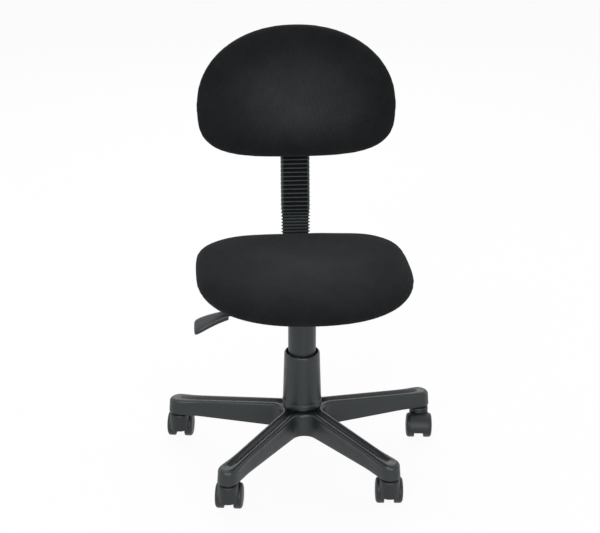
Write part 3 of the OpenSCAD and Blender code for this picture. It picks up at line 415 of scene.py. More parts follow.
finishes = {
    "nylon": {"colour": (0.0100, 0.0138, 0.0158), "rough": 0.40, "grain": 0.2, "gloss": 0.47},
    "casterNylon": {"colour": (0.0095, 0.0125, 0.0142), "rough": 0.48, "grain": 0.3, "gloss": 0.38},
    "coat": {"colour": (0.022, 0.023, 0.024), "rough": 0.38},
    "plated": {"colour": (0.62, 0.63, 0.64), "rough": 0.32},
    # Boot: the first colour is painted shade in the furrows, the second a painted highlight on the crests
    "boot": {"valley": (0.0012, 0.0018, 0.0022), "crest": (0.044, 0.052, 0.055), "rough": 0.42},
    "rubber": {"colour": (0.02, 0.022, 0.023), "rough": 0.6},
    "bush": {"colour": (0.78, 0.78, 0.73), "rough": 0.45, "grain": 0.2, "gloss": 0.45},
    "ply": {"colour": (0.60, 0.44, 0.27)},
    # For the cloths, the last factor is how much darker the pads' rims are painted, a painted shade
    "cloth": {"dark": (0.004, 0.0045, 0.005), "light": (0.041, 0.045, 0.047), "thread": 0.0011,
              "rough": 0.92, "sheen": 0.03, "gloss": 0.06, "paintedRimShade": 0.5},
    "lining": {"dark": (0.008, 0.008, 0.009), "light": (0.022, 0.022, 0.024), "thread": 0.0016,
               "rough": 0.95, "sheen": 0.02, "gloss": 0.06, "paintedRimShade": 1.0},
}
nylon = mouldedPlastic("satin nylon", finishes["nylon"])
casterNylon = mouldedPlastic("caster nylon", finishes["casterNylon"])
coat = powderCoat("powder coat", finishes["coat"])
plated = platedSteel("plated steel", finishes["plated"])
boot = ribbedRubber("boot rubber", finishes["boot"])
rubber = mouldedRubber("plain rubber", finishes["rubber"])
bush = mouldedPlastic("guide plastic", finishes["bush"])
ply = plyBoard("plywood", finishes["ply"])
cloth = wovenCloth("woven cloth", finishes["cloth"])
lining = wovenCloth("dust lining", finishes["lining"])
bySlot = {"nylon": nylon, "black_steel": coat, "bright_steel": plated, "bush_plastic": bush,
          "rubber": rubber, "fabric": lining, "plywood": ply}
print("materials made")

# The moulded base: rings of the star's outline, from the underside's middle round
# the lower edge, up the walls, over the ridges and down the channels to the middle
base = {
    "stemRing": 260, "halfWidth": 16.5, "tipRadius": 20, "fillet": 26, "lowZ": 66,
    "rootRidge": 54, "tipRidge": 29.5, "tipDome": 1.2, "domeRun": 32, "flare": 55,
    "draft": 1.5, "bead": 5.5, "crownShare": 1.15, "tipRound": 8, "neck": 0.6, "neckDrop": 3.4,
    "channel": 7, "crestRound": 5, "channelEnd": 9, "endDepthShare": 0.5, "valleyFade": 3.2,
    "wall": 3.2, "hollowEnd": 32, "ribHalf": 1.2, "ribRise": 9, "ribShares": (0.36, 0.52, 0.68, 0.84),
    "armAngles": (-126, -54, 18, 90, 162), "hubRadius": 29.5,
    "hub": ((1, 66), (28.5, 66), (29.5, 66.8), (29.5, 110), (1, 110)),
}


# The outline of one arm with u along it and v across, one row for each ring: the fillet's arc from the root,
# the straight side, the flare that eases out to the tip, the tip's half circle, and the same back on the
# other side. The last array goes from 1 at the root to 0 where the side starts.
def armOutline(inside, tipIn, tipBack, shape, rootSteps=14, sideSteps=14, flareSteps=12, tipSteps=26):
    gore = 180 / len(shape["armAngles"])  # half of the angle between two arms
    half = shape["halfWidth"] - inside[:, None]
    fillet = shape["fillet"] + inside[:, None]
    tipU = shape["stemRing"] - tipBack[:, None]
    endR = shape["tipRadius"] - tipIn[:, None]
    rootU = (half + fillet) / math.tan(math.radians(gore))
    a = np.radians(np.linspace(180 - gore, 90, rootSteps + 1))
    arcU = rootU + fillet * np.cos(a)
    arcV = fillet * np.sin(a) - half - fillet
    t = np.arange(flareSteps) / flareSteps
    start = np.minimum(shape["stemRing"] - shape["flare"], tipU - shape["flare"] / 2)
    straight = np.arange(1, sideSteps) / sideSteps
    sideU = np.concatenate([mix(rootU, start, straight), mix(start, tipU, t)], 1)
    sideV = -np.concatenate([half + 0 * straight, mix(half, endR, ease(t))], 1)
    b = np.radians(np.linspace(-90, 90, tipSteps + 1))
    tipsU = tipU + endR * np.cos(b)
    tipsV = endR * np.sin(b)
    u = np.concatenate([arcU, sideU, tipsU, sideU[:, ::-1], arcU[:, :0:-1]], 1)
    v = np.concatenate([arcV, sideV, tipsV, -sideV[:, ::-1], -arcV[:, :0:-1]], 1)
    nearRoot = np.concatenate([
        np.linspace(1, 0, rootSteps + 1),
        np.zeros(2 * (flareSteps + sideSteps - 1) + tipSteps + 1),
        np.linspace(0, 1, rootSteps + 1)[:-1],
    ])
    return u, v, nearRoot


# Height of the ridges at a distance from the column, a straight fall with a low dome over the stem, and the
# share of the tip's form there
def ridgeAt(r, shape):
    fall = (shape["rootRidge"] - shape["tipRidge"]) * r / shape["stemRing"]
    dome = shape["tipDome"] * ease((r - shape["stemRing"] + shape["domeRun"]) / shape["domeRun"])
    share = ease((r - shape["stemRing"] + shape["flare"]) / shape["flare"])
    return shape["lowZ"] + shape["rootRidge"] - fall + dome, share


# Each row's outline, turned to every arm. A row is: inside, inside at the tip, back from the tip, share of
# the height, drop under the ridge line on the arm and at the tip, and share of the dip between two arms.
def starRings(rows, shape):
    inside, tipIn, tipBack, height, armDrop, tipDrop, dip = np.array(rows, float).T
    u, v, nearRoot = armOutline(inside, tipIn, tipBack, shape)
    turns = [(math.cos(math.radians(angle)), math.sin(math.radians(angle))) for angle in shape["armAngles"]]
    x = np.concatenate([u * c - v * s for c, s in turns], 1)
    y = np.concatenate([u * s + v * c for c, s in turns], 1)
    ridge, share = ridgeAt(np.hypot(x, y), shape)
    dips = dip[:, None] * ease(np.tile(nearRoot, len(turns))) * shape["valleyFade"]
    top = ridge - mix(armDrop[:, None], tipDrop[:, None], share) - dips
    return np.stack([x, y, mix(shape["lowZ"], top, height[:, None])], -1) * mm


# Corners and faces of a box
def slab(x0, x1, y0, y1, z0, z1):
    plan = ((x0, y0), (x1, y0), (x1, y1), (x0, y1))
    corners = np.array([[x, y, z] for z in (z0, z1) for x, y in plan], float)
    faces = [[3, 2, 1, 0], [4, 5, 6, 7], [0, 1, 5, 4], [1, 2, 6, 5], [2, 3, 7, 6], [3, 0, 4, 7]]
    return corners, faces


def makeBase(shape):
    draft, bead, tipRound, wall = (shape[key] for key in ("draft", "bead", "tipRound", "wall"))
    toTip = shape["tipRadius"] - shape["halfWidth"]
    under = shape["channel"] + wall
    rows = []
    for inside, height in ((wall + 2.8, 1), (wall + 1.2, 0.95), (wall, 0.02), (wall - 0.4, 0)):  # the hollow
        rows.append((inside, toTip + inside, shape["hollowEnd"], height, under, under, 0))
    for inside, height in ((0.6, 0), (0.12, 0.008), (0, 0.02)):  # the lower edge
        rows.append((inside, inside, 0, height, bead, tipRound, 0))
    rise = bead * shape["crownShare"]
    neck = draft + shape["neck"]
    for f in (0.25, 0.5, 0.72):  # the wall, which draws in a little up to the neck under the ridge
        rows.append((neck * f, draft * f, 0, f, bead, tipRound, f ** 3))
    rows.append((neck, draft, 0, 1, rise + shape["neckDrop"], tipRound + shape["neckDrop"], 0.7))
    rows.append((draft + 0.15, draft, 0, 1, rise + 1.2, tipRound + 1.2, 0.9))
    for phi in np.radians(np.arange(0, 91, 10)):  # a quarter of an ellipse up to the crest
        c, s = math.cos(phi), math.sin(phi)
        rows.append((draft + bead * (1 - c), draft + tipRound * (1 - c), 0, 1,
                     rise * (1 - s), tipRound * (1 - s), 1))
    crown, lastIn = draft + bead, shape["halfWidth"] - 0.3
    across, soft = lastIn - crown, shape["crestRound"]
    for t in np.arange(1, 15) / 14:  # a V between the ridges, each side half of a hyperbola from the crest
        drop = shape["channel"] * (math.hypot(across * t, soft) - soft) / (math.hypot(across, soft) - soft)
        rows.append((mix(crown, lastIn, t), mix(draft + tipRound, toTip + lastIn, t),
                     ease(2 * t) * shape["channelEnd"], 1, drop, drop * shape["endDepthShare"], 1 - t))
    rings = starRings(rows, shape)
    shrink = np.array([0.72, 0.45, 0.2])[:, None, None]

    def middle(ring, down):  # the ring drawn in towards the column, at the height of the ridge line there
        flat = ring[None, :, :2] * shrink
        ridge, share = ridgeAt(np.hypot(flat[..., 0], flat[..., 1]) / mm, shape)
        height = ridge - down * mix(1, shape["endDepthShare"], share)
        return np.concatenate([flat, height[..., None] * mm], -1)

    rings = np.concatenate([middle(rings[0], under)[::-1], rings, middle(rings[-1], shape["channel"])])
    star = ringSurface("baseStar", rings)
    low, high = shape["lowZ"] + 1, shape["lowZ"] + 1 + shape["ribRise"]
    half, thin, reach = shape["halfWidth"] - wall / 2, shape["ribHalf"], shape["stemRing"]
    ribs = [slab(shape["hubRadius"] - 2, reach - shape["channelEnd"], -thin, thin, low, high)]
    ribs += [slab(reach * k - thin, reach * k + thin, -half, half, low, high) for k in shape["ribShares"]]
    mesh = bmesh.new()
    mesh.from_mesh(star.data)
    for angle in shape["armAngles"]:
        c, s = math.cos(math.radians(angle)), math.sin(math.radians(angle))
        turn = np.array([[c, s, 0], [-s, c, 0], [0, 0, 1]])
        for corners, faces in ribs:
            made = [mesh.verts.new(p) for p in corners @ turn * mm]
            for f in faces:
                mesh.faces.new([made[k] for k in f])
    mesh.to_mesh(star.data)
    mesh.free()
    finish(turned("hubBoss", np.array(shape["hub"]) * mm), "base", nylon)
    return finish(star, "base", nylon, ["base_star"], sharp=42)


makeBase(base)
print("base made")

# Covers of the column: the lower one has a ring band at its foot and a rolled rim, and the sleeve of the
# upper one slides in it
covers = {
    "hubTop": 116.5, "height": 115, "footRadius": 38.9, "rimRadius": 34.9, "bandHeight": 12,
    "bandSwell": 0.55, "rimRound": 4.5, "lip": 2.9, "bore": 25.4,
    "sleeveRadius": 27.7, "sleeveTaper": 0.6, "sleeveTop": 337.5, "rodHole": 19,
}


# Both are profiles of (radius, height), outside up and inside down, turned about the column
def makeCovers(c):
    z0, z1 = c["hubTop"], c["hubTop"] + c["height"]
    foot, bore = c["footRadius"], c["bore"]
    bandTop, rimStart = z0 + c["bandHeight"], z1 - c["rimRound"]

    def radiusAt(z):
        return mix(foot - 0.7, c["rimRadius"], (z - bandTop) / (z1 - bandTop))

    lower = [(bore, z0 + 0.1), (foot - 1.2, z0 + 0.1), (foot - 0.3, z0 + 0.6), (foot, z0 + 1.6)]
    lower += [(foot + c["bandSwell"] * math.sin(math.pi * t), mix(z0 + 1.6, bandTop - 1.4, t))
              for t in np.linspace(0.12, 0.88, 8)]
    lower += [(foot + 0.05, bandTop - 1.2), (foot - 0.25, bandTop - 0.5), (foot - 0.9, bandTop - 0.15),
              (foot - 1.15, bandTop + 0.35), (foot - 1.0, bandTop + 1.1)]
    lower += [(radiusAt(z), z) for z in np.linspace(bandTop + 2, rimStart, 16)]
    top = radiusAt(rimStart)
    lower += [(top - c["lip"] * (1 - math.cos(t)), rimStart + c["rimRound"] * math.sin(t))
              for t in np.radians([15, 30, 45, 60, 75, 88])]
    lower += [(top - 3.3, z1 - 0.15), (top - 3.6, z1 - 0.6), (top - 3.7, z1 - 2)]
    lower += [(foot - 4.2, z0 + 4), (foot - 5.5, z0 + 2.6), (bore, z0 + 2.5)]
    cover = turned("lowerCover", np.array(lower) * mm, 128, loopRows=True)
    finish(cover, "base", nylon, ["lower_cover"])
    r, low, high = c["sleeveRadius"], z0 + 8, c["sleeveTop"]
    top = r - c["sleeveTaper"]
    sleeve = [(r - 1.4, low), (r - 0.3, low), (r, low + 0.4)]
    sleeve += [(mix(r, top, t), mix(low + 0.4, high - 0.8, t)) for t in np.linspace(0.05, 1, 14)]
    sleeve += [(top - 0.25, high - 0.2), (top - 0.9, high), (c["rodHole"], high), (c["rodHole"], high - 2.5),
               (top - 1.4, high - 2.5)]
    cover = turned("upperCover", np.array(sleeve) * mm, 128, loopRows=True)
    finish(cover, "seat", nylon, ["upper_cover"])


makeCovers(covers)
print("covers made")

# Padded seat and backrest. How the foam fills its cover, in the cloth simulation's own units
foam = {
    "voxel": 0.005, "evenings": 28, "letOut": 1.04, "frames": 20, "pressure": 4.0, "quality": 6, "mass": 0.2,
    "stretch": 18, "shear": 8, "bend": 1.5, "pin": 1.5, "relaxings": 60,
}


# Averages a value over each point's neighbours, several times
def relaxed(values, edges, rounds):
    shape = (-1,) + (1,) * (values.ndim - 1)
    around = np.bincount(edges.ravel(), minlength=len(values)).reshape(shape)
    for _ in range(rounds):
        total = np.zeros_like(values)
        np.add.at(total, edges[:, 0], values[edges[:, 1]])
        np.add.at(total, edges[:, 1], values[edges[:, 0]])
        values = 0.5 * values + 0.5 * total / around
    return values


# A closed form is remeshed and blown up as cloth, as foam fills its cover. The swelling
# is then evened out, capped and laid on along each point's normal, so the cover is taut.
# Held points stay on the board.
def plump(piece, cap, heldWeight, f):
    piece.modifiers.new("even", "REMESH").voxel_size = f["voxel"]
    mesh = bpy.data.meshes.new_from_object(piece.evaluated_get(bpy.context.evaluated_depsgraph_get()))
    piece.modifiers.clear()
    piece.data = mesh
    count = len(mesh.vertices)
    start, normals = readPoints(mesh), np.zeros(count * 3)
    mesh.vertices.foreach_get("normal", normals)
    edges = np.zeros(len(mesh.edges) * 2, int)
    mesh.edges.foreach_get("vertices", edges)
    normals, edges = normals.reshape(-1, 3), edges.reshape(-1, 2)
    free = 1 - np.clip(heldWeight(start), 0, 1)
    smoothed = start
    for _ in range(f["evenings"]):  # relaxed and let out again in turn, so that the form doesn't shrink
        inward = relaxed(smoothed, edges, 1)
        smoothed = inward - f["letOut"] * (relaxed(inward, edges, 1) - inward)
    start = start + (smoothed - start) * free[:, None]
    held = piece.vertex_groups.new(name="held")
    for level in (0.25, 0.5, 0.75, 1.0):
        chosen = np.nonzero((1 - free > level - 0.25) & (1 - free <= level))[0]
        if len(chosen):
            held.add(chosen.tolist(), level, "REPLACE")
    air = piece.modifiers.new("air", "CLOTH")
    air.settings.quality = f["quality"]
    air.settings.mass = f["mass"]
    air.settings.tension_stiffness = f["stretch"]
    air.settings.compression_stiffness = f["stretch"]
    air.settings.shear_stiffness = f["shear"]
    air.settings.bending_stiffness = f["bend"]
    air.settings.use_pressure = True
    air.settings.uniform_pressure_force = f["pressure"]
    air.settings.vertex_group_mass = "held"
    air.settings.pin_stiffness = f["pin"]
    air.settings.effector_weights.gravity = 0
    air.collision_settings.use_collision = False
    air.point_cache.frame_end = f["frames"]
    for step in range(1, f["frames"] + 1):
        scene.frame_set(step)
    blown = piece.evaluated_get(bpy.context.evaluated_depsgraph_get()).to_mesh()
    moved = readPoints(blown)
    piece.modifiers.clear()
    piece.vertex_groups.clear()
    scene.frame_set(1)
    swell = np.einsum("ij,ij->i", moved - start, normals)
    swell = np.clip(relaxed(np.clip(swell, 0, 3 * cap), edges, f["relaxings"]), 0, cap) * free
    average, most = float(swell.mean()) / mm, float(swell.max()) / mm
    print(f"{piece.name} swelled by {average:.2f} mm on average, {most:.2f} at most")
    return start + normals * swell[:, None]


# The cloth's own plane: a pair of metres for each point
def setUv(mesh, perPoint):
    layer = mesh.uv_layers.new(name="cloth")
    corners = np.zeros(len(mesh.loops), int)
    mesh.loops.foreach_get("vertex_index", corners)
    layer.data.foreach_set("uv", perPoint[corners].astype(np.float32).ravel())


# A value for each point, which a material reads by its name
def setField(mesh, name, perPoint):
    layer = mesh.attributes.new(name, "FLOAT", "POINT")
    layer.data.foreach_set("value", perPoint.astype(np.float32).ravel())


# Soft hollows and puckers: a few long waves, a sine one way times a cosine another way
def softWaves(points, seedTurns, lengths, heights):
    total = np.zeros(len(points))
    for k, (length, height) in enumerate(zip(lengths, heights)):
        a = seedTurns + 2.4 * k
        direction = np.array([math.cos(a), math.sin(a), 0.6 * math.sin(1.7 * a)])
        other = np.array([-math.sin(a), math.cos(a), 0.5 * math.cos(2.3 * a)])
        oneWay = np.sin(points @ direction * 2 * np.pi / length + a)
        otherWay = np.cos(points @ other * 2 * np.pi / (length * 1.3) + 2 * a)
        total += height * oneWay * otherWay
    return total


# How far out a point is between the middle, 0, and the rim of a rounded outline, 1
def rimShare(x, y, halfX, halfY, power):
    return ((np.abs(x) / halfX) ** power + (np.abs(y) / halfY) ** power) ** (1 / power)


# Distance from the middle plus most of the way down the side, so that the cloth isn't stretched there
def clothUv(flat, down):
    reach = np.hypot(flat[:, 0], flat[:, 1])
    return flat / np.maximum(reach, 1e-6)[:, None] * (reach + down * 0.9)[:, None]


def finishPad(piece, body, hides):
    finish(piece, body, cloth, hides, sharp=0)
    smooth = piece.modifiers.new("fine", "SUBSURF")
    smooth.levels = smooth.render_levels = 1
    return piece


seat = {
    "width": 410, "front": 203, "rear": 180, "forward": 30, "frontPower": 2.35, "rearPower": 4,
    "skew": 0.02, "skewFrom": 70, "boardZ": 384.5, "side": 25, "droop": 16, "crown": 27.5, "crownPower": 3.7,
    "boardShare": 0.78, "flatShare": 0.82, "start": 1.005, "swell": 0.0025,
    # The values on the next line shape the field that paints the middle of the top paler than its rim, a
    # painted light
    "paintedSheenShare": 1.0, "paintedSheenForward": 36, "paintedSheenPower": 2.4,
}


# A power that keeps the sign, for the corners of a superellipse
def signedPower(value, power):
    return np.sign(value) * np.abs(value) ** power


# Half a superellipse in front and another behind, each with its own depth and power
def seatOutline(share, s, count):
    a = 2 * np.pi * (np.arange(count) + 0.5) / count
    c, n = np.cos(a), np.sin(a)
    power = np.where(n < 0, s["frontPower"], s["rearPower"])
    depth = np.where(n < 0, s["front"], s["rear"])
    x = s["width"] / 2 * share * signedPower(c, 2 / power)
    return x, depth * share * signedPower(n, 2 / power) - s["forward"]


# The outline at a share of its width, between the board and the side's height, which droops to the front
def seatRing(share, rise, up, s, count=120):
    x, y = seatOutline(share, s, count)
    front = np.clip(-(y + s["forward"]) / s["front"], 0, 1)
    sideZ = s["boardZ"] + s["side"] - s["droop"] * front ** 2
    return np.stack([x, y, mix(s["boardZ"], sideZ, rise) + up], -1)


# Flat on the board, a quarter circle out to the rim, and a crown of the height sqrt(1 - share^power)
def makeSeat(s):
    rings = [seatRing(k, 0, 0, s) for k in (0.3, 0.6, s["boardShare"])]
    for a in np.radians(np.linspace(0, 90, 9)):
        rings.append(seatRing(mix(s["flatShare"], 1, math.sin(a)), 1 - math.cos(a), 0, s))
    for i in range(1, 22):
        share = math.cos(math.radians(90 * i / 22.4))
        rings.append(seatRing(share, 1, s["crown"] * math.sqrt(1 - share ** s["crownPower"]), s))
    rings = np.array(rings) * mm
    middle = np.array([0, -s["forward"], s["boardZ"] + s["side"]]) * mm
    rings = middle + (rings - middle) * np.array([s["start"], s["start"], 1])
    rings[..., 0] += s["skew"] * np.maximum(0, s["skewFrom"] * mm - rings[..., 1])  # the front goes right
    piece = ringSurface("seatPad", rings)
    low = s["boardZ"] * mm

    def onBoard(p):  # 1 within 1 mm of the board, and 0 from 7 mm
        return 1 - (p[:, 2] - low - 0.001) / 0.006

    points = plump(piece, s["swell"], onBoard, foam)
    waves = softWaves(points, 0.4, (0.16, 0.09, 0.23), (0.0004, 0.0002, 0.0006))
    waves = waves * np.clip((points[:, 2] - low - 0.012) / 0.02, 0, 1)
    points[:, 2] = np.maximum(points[:, 2] + waves, low)
    writePoints(piece.data, points)
    flat = points[:, :2] - middle[:2]
    top = (s["boardZ"] + s["side"] + s["crown"]) * mm
    setUv(piece.data, clothUv(flat, np.maximum(0, top - 0.012 - points[:, 2])))
    # Painted light: a field that is 1 in the middle of the top and falls to 0 at the rim, so the cloth paints
    # the rim darker
    share = rimShare(flat[:, 0], flat[:, 1] + s["paintedSheenForward"] * mm, s["width"] / 2 * mm, s["front"] * mm,
                     s["paintedSheenPower"])
    onTop = np.clip((points[:, 2] - low - 0.02) / 0.015, 0, 1)
    setField(piece.data, "paintedSheen", (1 - ease(share / s["paintedSheenShare"])) * onTop)
    return finishPad(piece, "seat", ["seat_cushion"])


# Dust cloth under the board: a thin sheet on the seat's outline. Its upper face is flat on the board, and
# its lower face rises by tuck * share^8 to the rim, and there by pucker once more at each staple
dust = {"share": 0.80, "tuck": 0.35, "pucker": 0.25, "staples": 24, "around": 240}


def makeDustCloth(d, s):
    low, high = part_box("dust_cloth")
    x, y = seatOutline(d["share"], s, d["around"])
    a = 2 * np.pi * np.arange(d["around"]) / d["around"]
    middleY = -s["forward"]
    rings = []
    for share in (0.1, 0.35, 0.6, 0.78, 0.9, 0.96, 1):
        rise = d["tuck"] * share ** 8 + d["pucker"] * share ** 12 * (1 + np.cos(d["staples"] * a)) / 2
        rings.append(np.stack([x * share, middleY + (y - middleY) * share, low[2] / mm + rise], -1))
    for share in (1, 0.9, 0.6, 0.35, 0.1):
        rings.append(np.stack([x * share, middleY + (y - middleY) * share, 0 * a + high[2] / mm], -1))
    rings = np.array(rings) * mm
    piece = ringSurface("dustCloth", rings)
    setUv(piece.data, readPoints(piece.data)[:, :2])
    finish(piece, "seat", lining, ["dust_cloth"], sharp=30)
    return piece


back = {
    "width": 391, "up": 153.5, "down": 108, "upPower": 2.1, "downPower": 3.2, "thick": 60, "edgePower": 5,
    "wrap": 24, "flatHalf": 45, "boardShare": 0.84, "lean": 7.5, "rearY": 225.7245, "midZ": 676.5,
    # The last two values shape the field that paints the middle of the front paler than its rim, a painted
    # light
    "start": 0.999, "swell": 0.0025, "paintedSheenShare": 0.95, "paintedSheenPower": 2.2,
}


# The backrest's own axes: across, up the lean, and out of its rear
def backAxes(b):
    t = math.radians(b["lean"])
    return np.array([[1, 0, 0], [0, math.sin(t), math.cos(t)], [0, math.cos(t), -math.sin(t)]])


# Half a superellipse above and another below, each with its own height and power
def backOutline(share, b, count):
    a = 2 * np.pi * (np.arange(count) + 0.5) / count
    c, n = np.cos(a), np.sin(a)
    power = np.where(n > 0, b["upPower"], b["downPower"])
    reach = np.where(n > 0, b["up"], b["down"])
    return b["width"] / 2 * share * signedPower(c, 2 / power), reach * share * signedPower(n, 2 / power)


# How far the sides wrap forward: wrap t^2, with t from 0 where the flat middle ends to 1 at the rim
def wrapAt(x, b):
    return b["wrap"] * (np.maximum(0, np.abs(x) - b["flatHalf"]) / (b["width"] / 2 - b["flatHalf"])) ** 2


def backRing(share, depth, b, count=120):
    x, y = backOutline(share, b, count)
    return np.stack([x, y, -wrapAt(x, b) - depth], -1)


# A flat rear, a quarter circle out to the rim at half the thickness, and a crowned front
def makeBack(b):
    rings = [backRing(b["boardShare"] * k / 6, 0, b) for k in range(1, 6)]
    for a in np.radians(np.linspace(0, 90, 9)):
        out = mix(b["boardShare"], 1, math.sin(a))
        rings.append(backRing(out, b["thick"] / 2 * (1 - math.cos(a)), b))
    for i in range(1, 22):
        share = math.cos(math.radians(90 * i / 22.4))
        depth = b["thick"] / 2 * (1 + math.sqrt(max(0, 1 - share ** b["edgePower"])))
        rings.append(backRing(share, depth, b))
    rings = np.array(rings) * mm * np.array([b["start"], b["start"], 1])
    piece = ringSurface("backPad", rings)

    def onRear(p):  # 1 within 1 mm of the rear face, and 0 from 7 mm
        return 1 - (-0.001 - p[:, 2] - wrapAt(p[:, 0] / mm, b) * mm) / 0.006

    points = plump(piece, b["swell"], onRear, foam)
    lift = softWaves(points, 1.9, (0.15, 0.09, 0.22), (0.0004, 0.0002, 0.0005))
    front = np.clip((-points[:, 2] - 0.02) / 0.02, 0, 1)
    points[:, 2] -= lift * front
    uv = clothUv(points[:, :2], np.maximum(0, points[:, 2] + 0.045))
    tall = np.where(points[:, 1] > 0, b["up"], b["down"]) * mm
    # Painted light: a field that is 1 in the middle of the front and falls to 0 at the rim, so the cloth
    # paints the rim darker
    share = rimShare(points[:, 0], points[:, 1], b["width"] / 2 * mm, tall, b["paintedSheenPower"])
    setField(piece.data, "paintedSheen", (1 - ease(share / b["paintedSheenShare"])) * front)
    points = points @ backAxes(b) + np.array([0, b["rearY"], b["midZ"]]) * mm
    writePoints(piece.data, points)
    setUv(piece.data, uv)
    return finishPad(piece, "backrest", ["back_cushion", "back_board"])


makeSeat(seat)
makeDustCloth(dust, seat)
makeBack(back)
print("pads made")

# The ribbed boot over the back bar, swept along the bar's line. Its ribs are pressed together and lie over
# lower down, and stand apart higher up.
bellows = {
    "start": 124, "bendStart": 165, "bendRadius": 40, "barZ": 343.8, "lean": 7.5, "topZ": 598.5, "lip": 4,
    "ribs": 42, "pitchShares": (0.80, 1.06), "changeShares": (0.53, 0.64), "halfWidth": 29.5, "halfDepth": 14,
    "rib": 2.6, "crestPowers": (2.4, 5.5), "sideShares": (1.5, 0.25), "corner": 7, "strip": 6,
    "lieOver": 15, "lieShares": (0.64, 0.53), "lieRun": 60, "wall": 1.6, "slotWidth": 22.3, "slotDepth": 3.3,
}


# The bar's middle line at a length along it: level, then round the bend's arc, then straight up the lean.
# The last value is the line's tilt.
def barLine(s, b):
    turn = math.radians(90 - b["lean"])
    level = b["bendStart"] - b["start"]
    bend = b["bendRadius"] * turn
    a = np.clip((s - level) / b["bendRadius"], 0, turn)
    up = np.maximum(0, s - level - bend)
    lean = math.radians(b["lean"])
    y = b["start"] + np.minimum(s, level) + b["bendRadius"] * np.sin(a) + up * math.sin(lean)
    z = b["barZ"] + b["bendRadius"] * (1 - np.cos(a)) + up * math.cos(lean)
    return y, z, a


# A box with rounded corners, for each row
def boxLoop(halfW, halfT, corner, steps=7):
    halfW, halfT, corner = (np.asarray(k, float)[:, None] for k in (halfW, halfT, corner))
    a = np.radians(np.linspace(0, 90, steps))[None, :]
    x, y = [], []
    for k, (sx, sy) in enumerate(((1, 1), (-1, 1), (-1, -1), (1, -1))):
        t = a + k * np.pi / 2
        x.append(sx * (halfW - corner) + corner * np.cos(t))
        y.append(sy * (halfT - corner) + corner * np.sin(t))
    return np.concatenate(x, 1), np.concatenate(y, 1)


def makeBellows(b):
    turn = math.radians(90 - b["lean"])
    bendEnd = b["barZ"] + b["bendRadius"] * (1 - math.cos(turn))
    upright = (b["topZ"] - bendEnd) / math.cos(math.radians(b["lean"]))
    length = b["bendStart"] - b["start"] + b["bendRadius"] * turn + upright - b["lip"]
    samples = 14
    i = np.arange(b["ribs"] * samples + 1) / samples
    share = i / b["ribs"]
    slack = ease((share - b["changeShares"][0]) / (b["changeShares"][1] - b["changeShares"][0]))
    run = np.cumsum(mix(*b["pitchShares"], slack))
    s = b["lip"] / 2 + (length - b["lip"]) * (run - run[0]) / (run[-1] - run[0])
    crest = np.abs(np.sin(np.pi * (i % 1))) ** mix(*b["crestPowers"], slack)  # narrow crests higher up
    drop = b["rib"] * (0.8 + 0.2 * (1 - share)) * (1 - crest)
    endW, endT = b["halfWidth"] - b["rib"], b["halfDepth"] - b["rib"]
    outW = np.concatenate([[endW], b["halfWidth"] - drop * mix(*b["sideShares"], slack), [endW]])
    outT = np.concatenate([[endT], b["halfDepth"] - drop, [endT]])
    s = np.concatenate([[0], s, [length]])
    corner = np.full(len(s), float(b["corner"]))
    sIn = np.linspace(length, 0, 60)  # the inside, which narrows to the bar's slot at the foot
    narrow = sIn < b["lip"] / 2
    inW = np.where(narrow, b["slotWidth"], endW - b["wall"])
    inT = np.where(narrow, b["slotDepth"], endT - b["wall"])
    cornerIn = np.where(narrow, 0.8, b["corner"] / 2)
    s, corner = np.concatenate([s, sIn]), np.concatenate([corner, cornerIn])
    x, q = boxLoop(np.concatenate([outW, inW]), np.concatenate([outT, inT]), corner)
    y, z, tilt = barLine(s, b)
    plain = np.zeros(len(sIn))
    lying = ease((b["lieShares"][0] - share) / (b["lieShares"][0] - b["lieShares"][1]))
    lying = np.concatenate([[0], lying, [0], plain]) * ease((s - b["lip"]) / b["lieRun"])
    tilt = (tilt - math.radians(b["lieOver"]) * lying)[:, None]
    rings = np.stack([x, y[:, None] - q * np.sin(tilt), z[:, None] + q * np.cos(tilt)], -1) * mm
    piece = ringSurface("bellows", rings, loopRows=True)
    # Painted highlight and shade: the crest field is high on the crests and the rounded sides and 0 in the
    # furrows, and the boot's material paints it from dark to pale; where the ribs are pressed together the
    # pale crests are broader
    crest = np.concatenate([[0], crest, [0], plain])[:, None]
    closed = np.concatenate([[0], 1 - slack, [0], plain])[:, None]
    strip = ease((np.abs(x) - (b["halfWidth"] - b["strip"] - 3 * crest)) / 2) * mix(1, crest, closed)
    paintedCrestLight = mix(0.75, 1, closed) * crest ** mix(1.6, 0.6, closed)
    setField(piece.data, "crest", np.maximum(paintedCrestLight, strip * mix(0.5, 1, crest)))
    dress(piece, boot, 60)
    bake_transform(piece)
    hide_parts("bellows_boot")
    return piece


makeBellows(bellows)
print("boot made")

# The lever's paddle: oval sections that widen and arch down towards the tip
paddle = {
    "x": 147, "z": -56, "leverZ": 367.8, "length": 62, "lead": 4, "drop": 24.5, "arch": 2, "tilt": 16,
    "rootWidth": 22, "width": 40, "thick": 14, "endShare": 0.55, "endWidth": 0.84, "endThick": 0.7,
    "close": 6, "sidePower": 0.5, "topPower": 0.6, "endRound": 1.5,
}


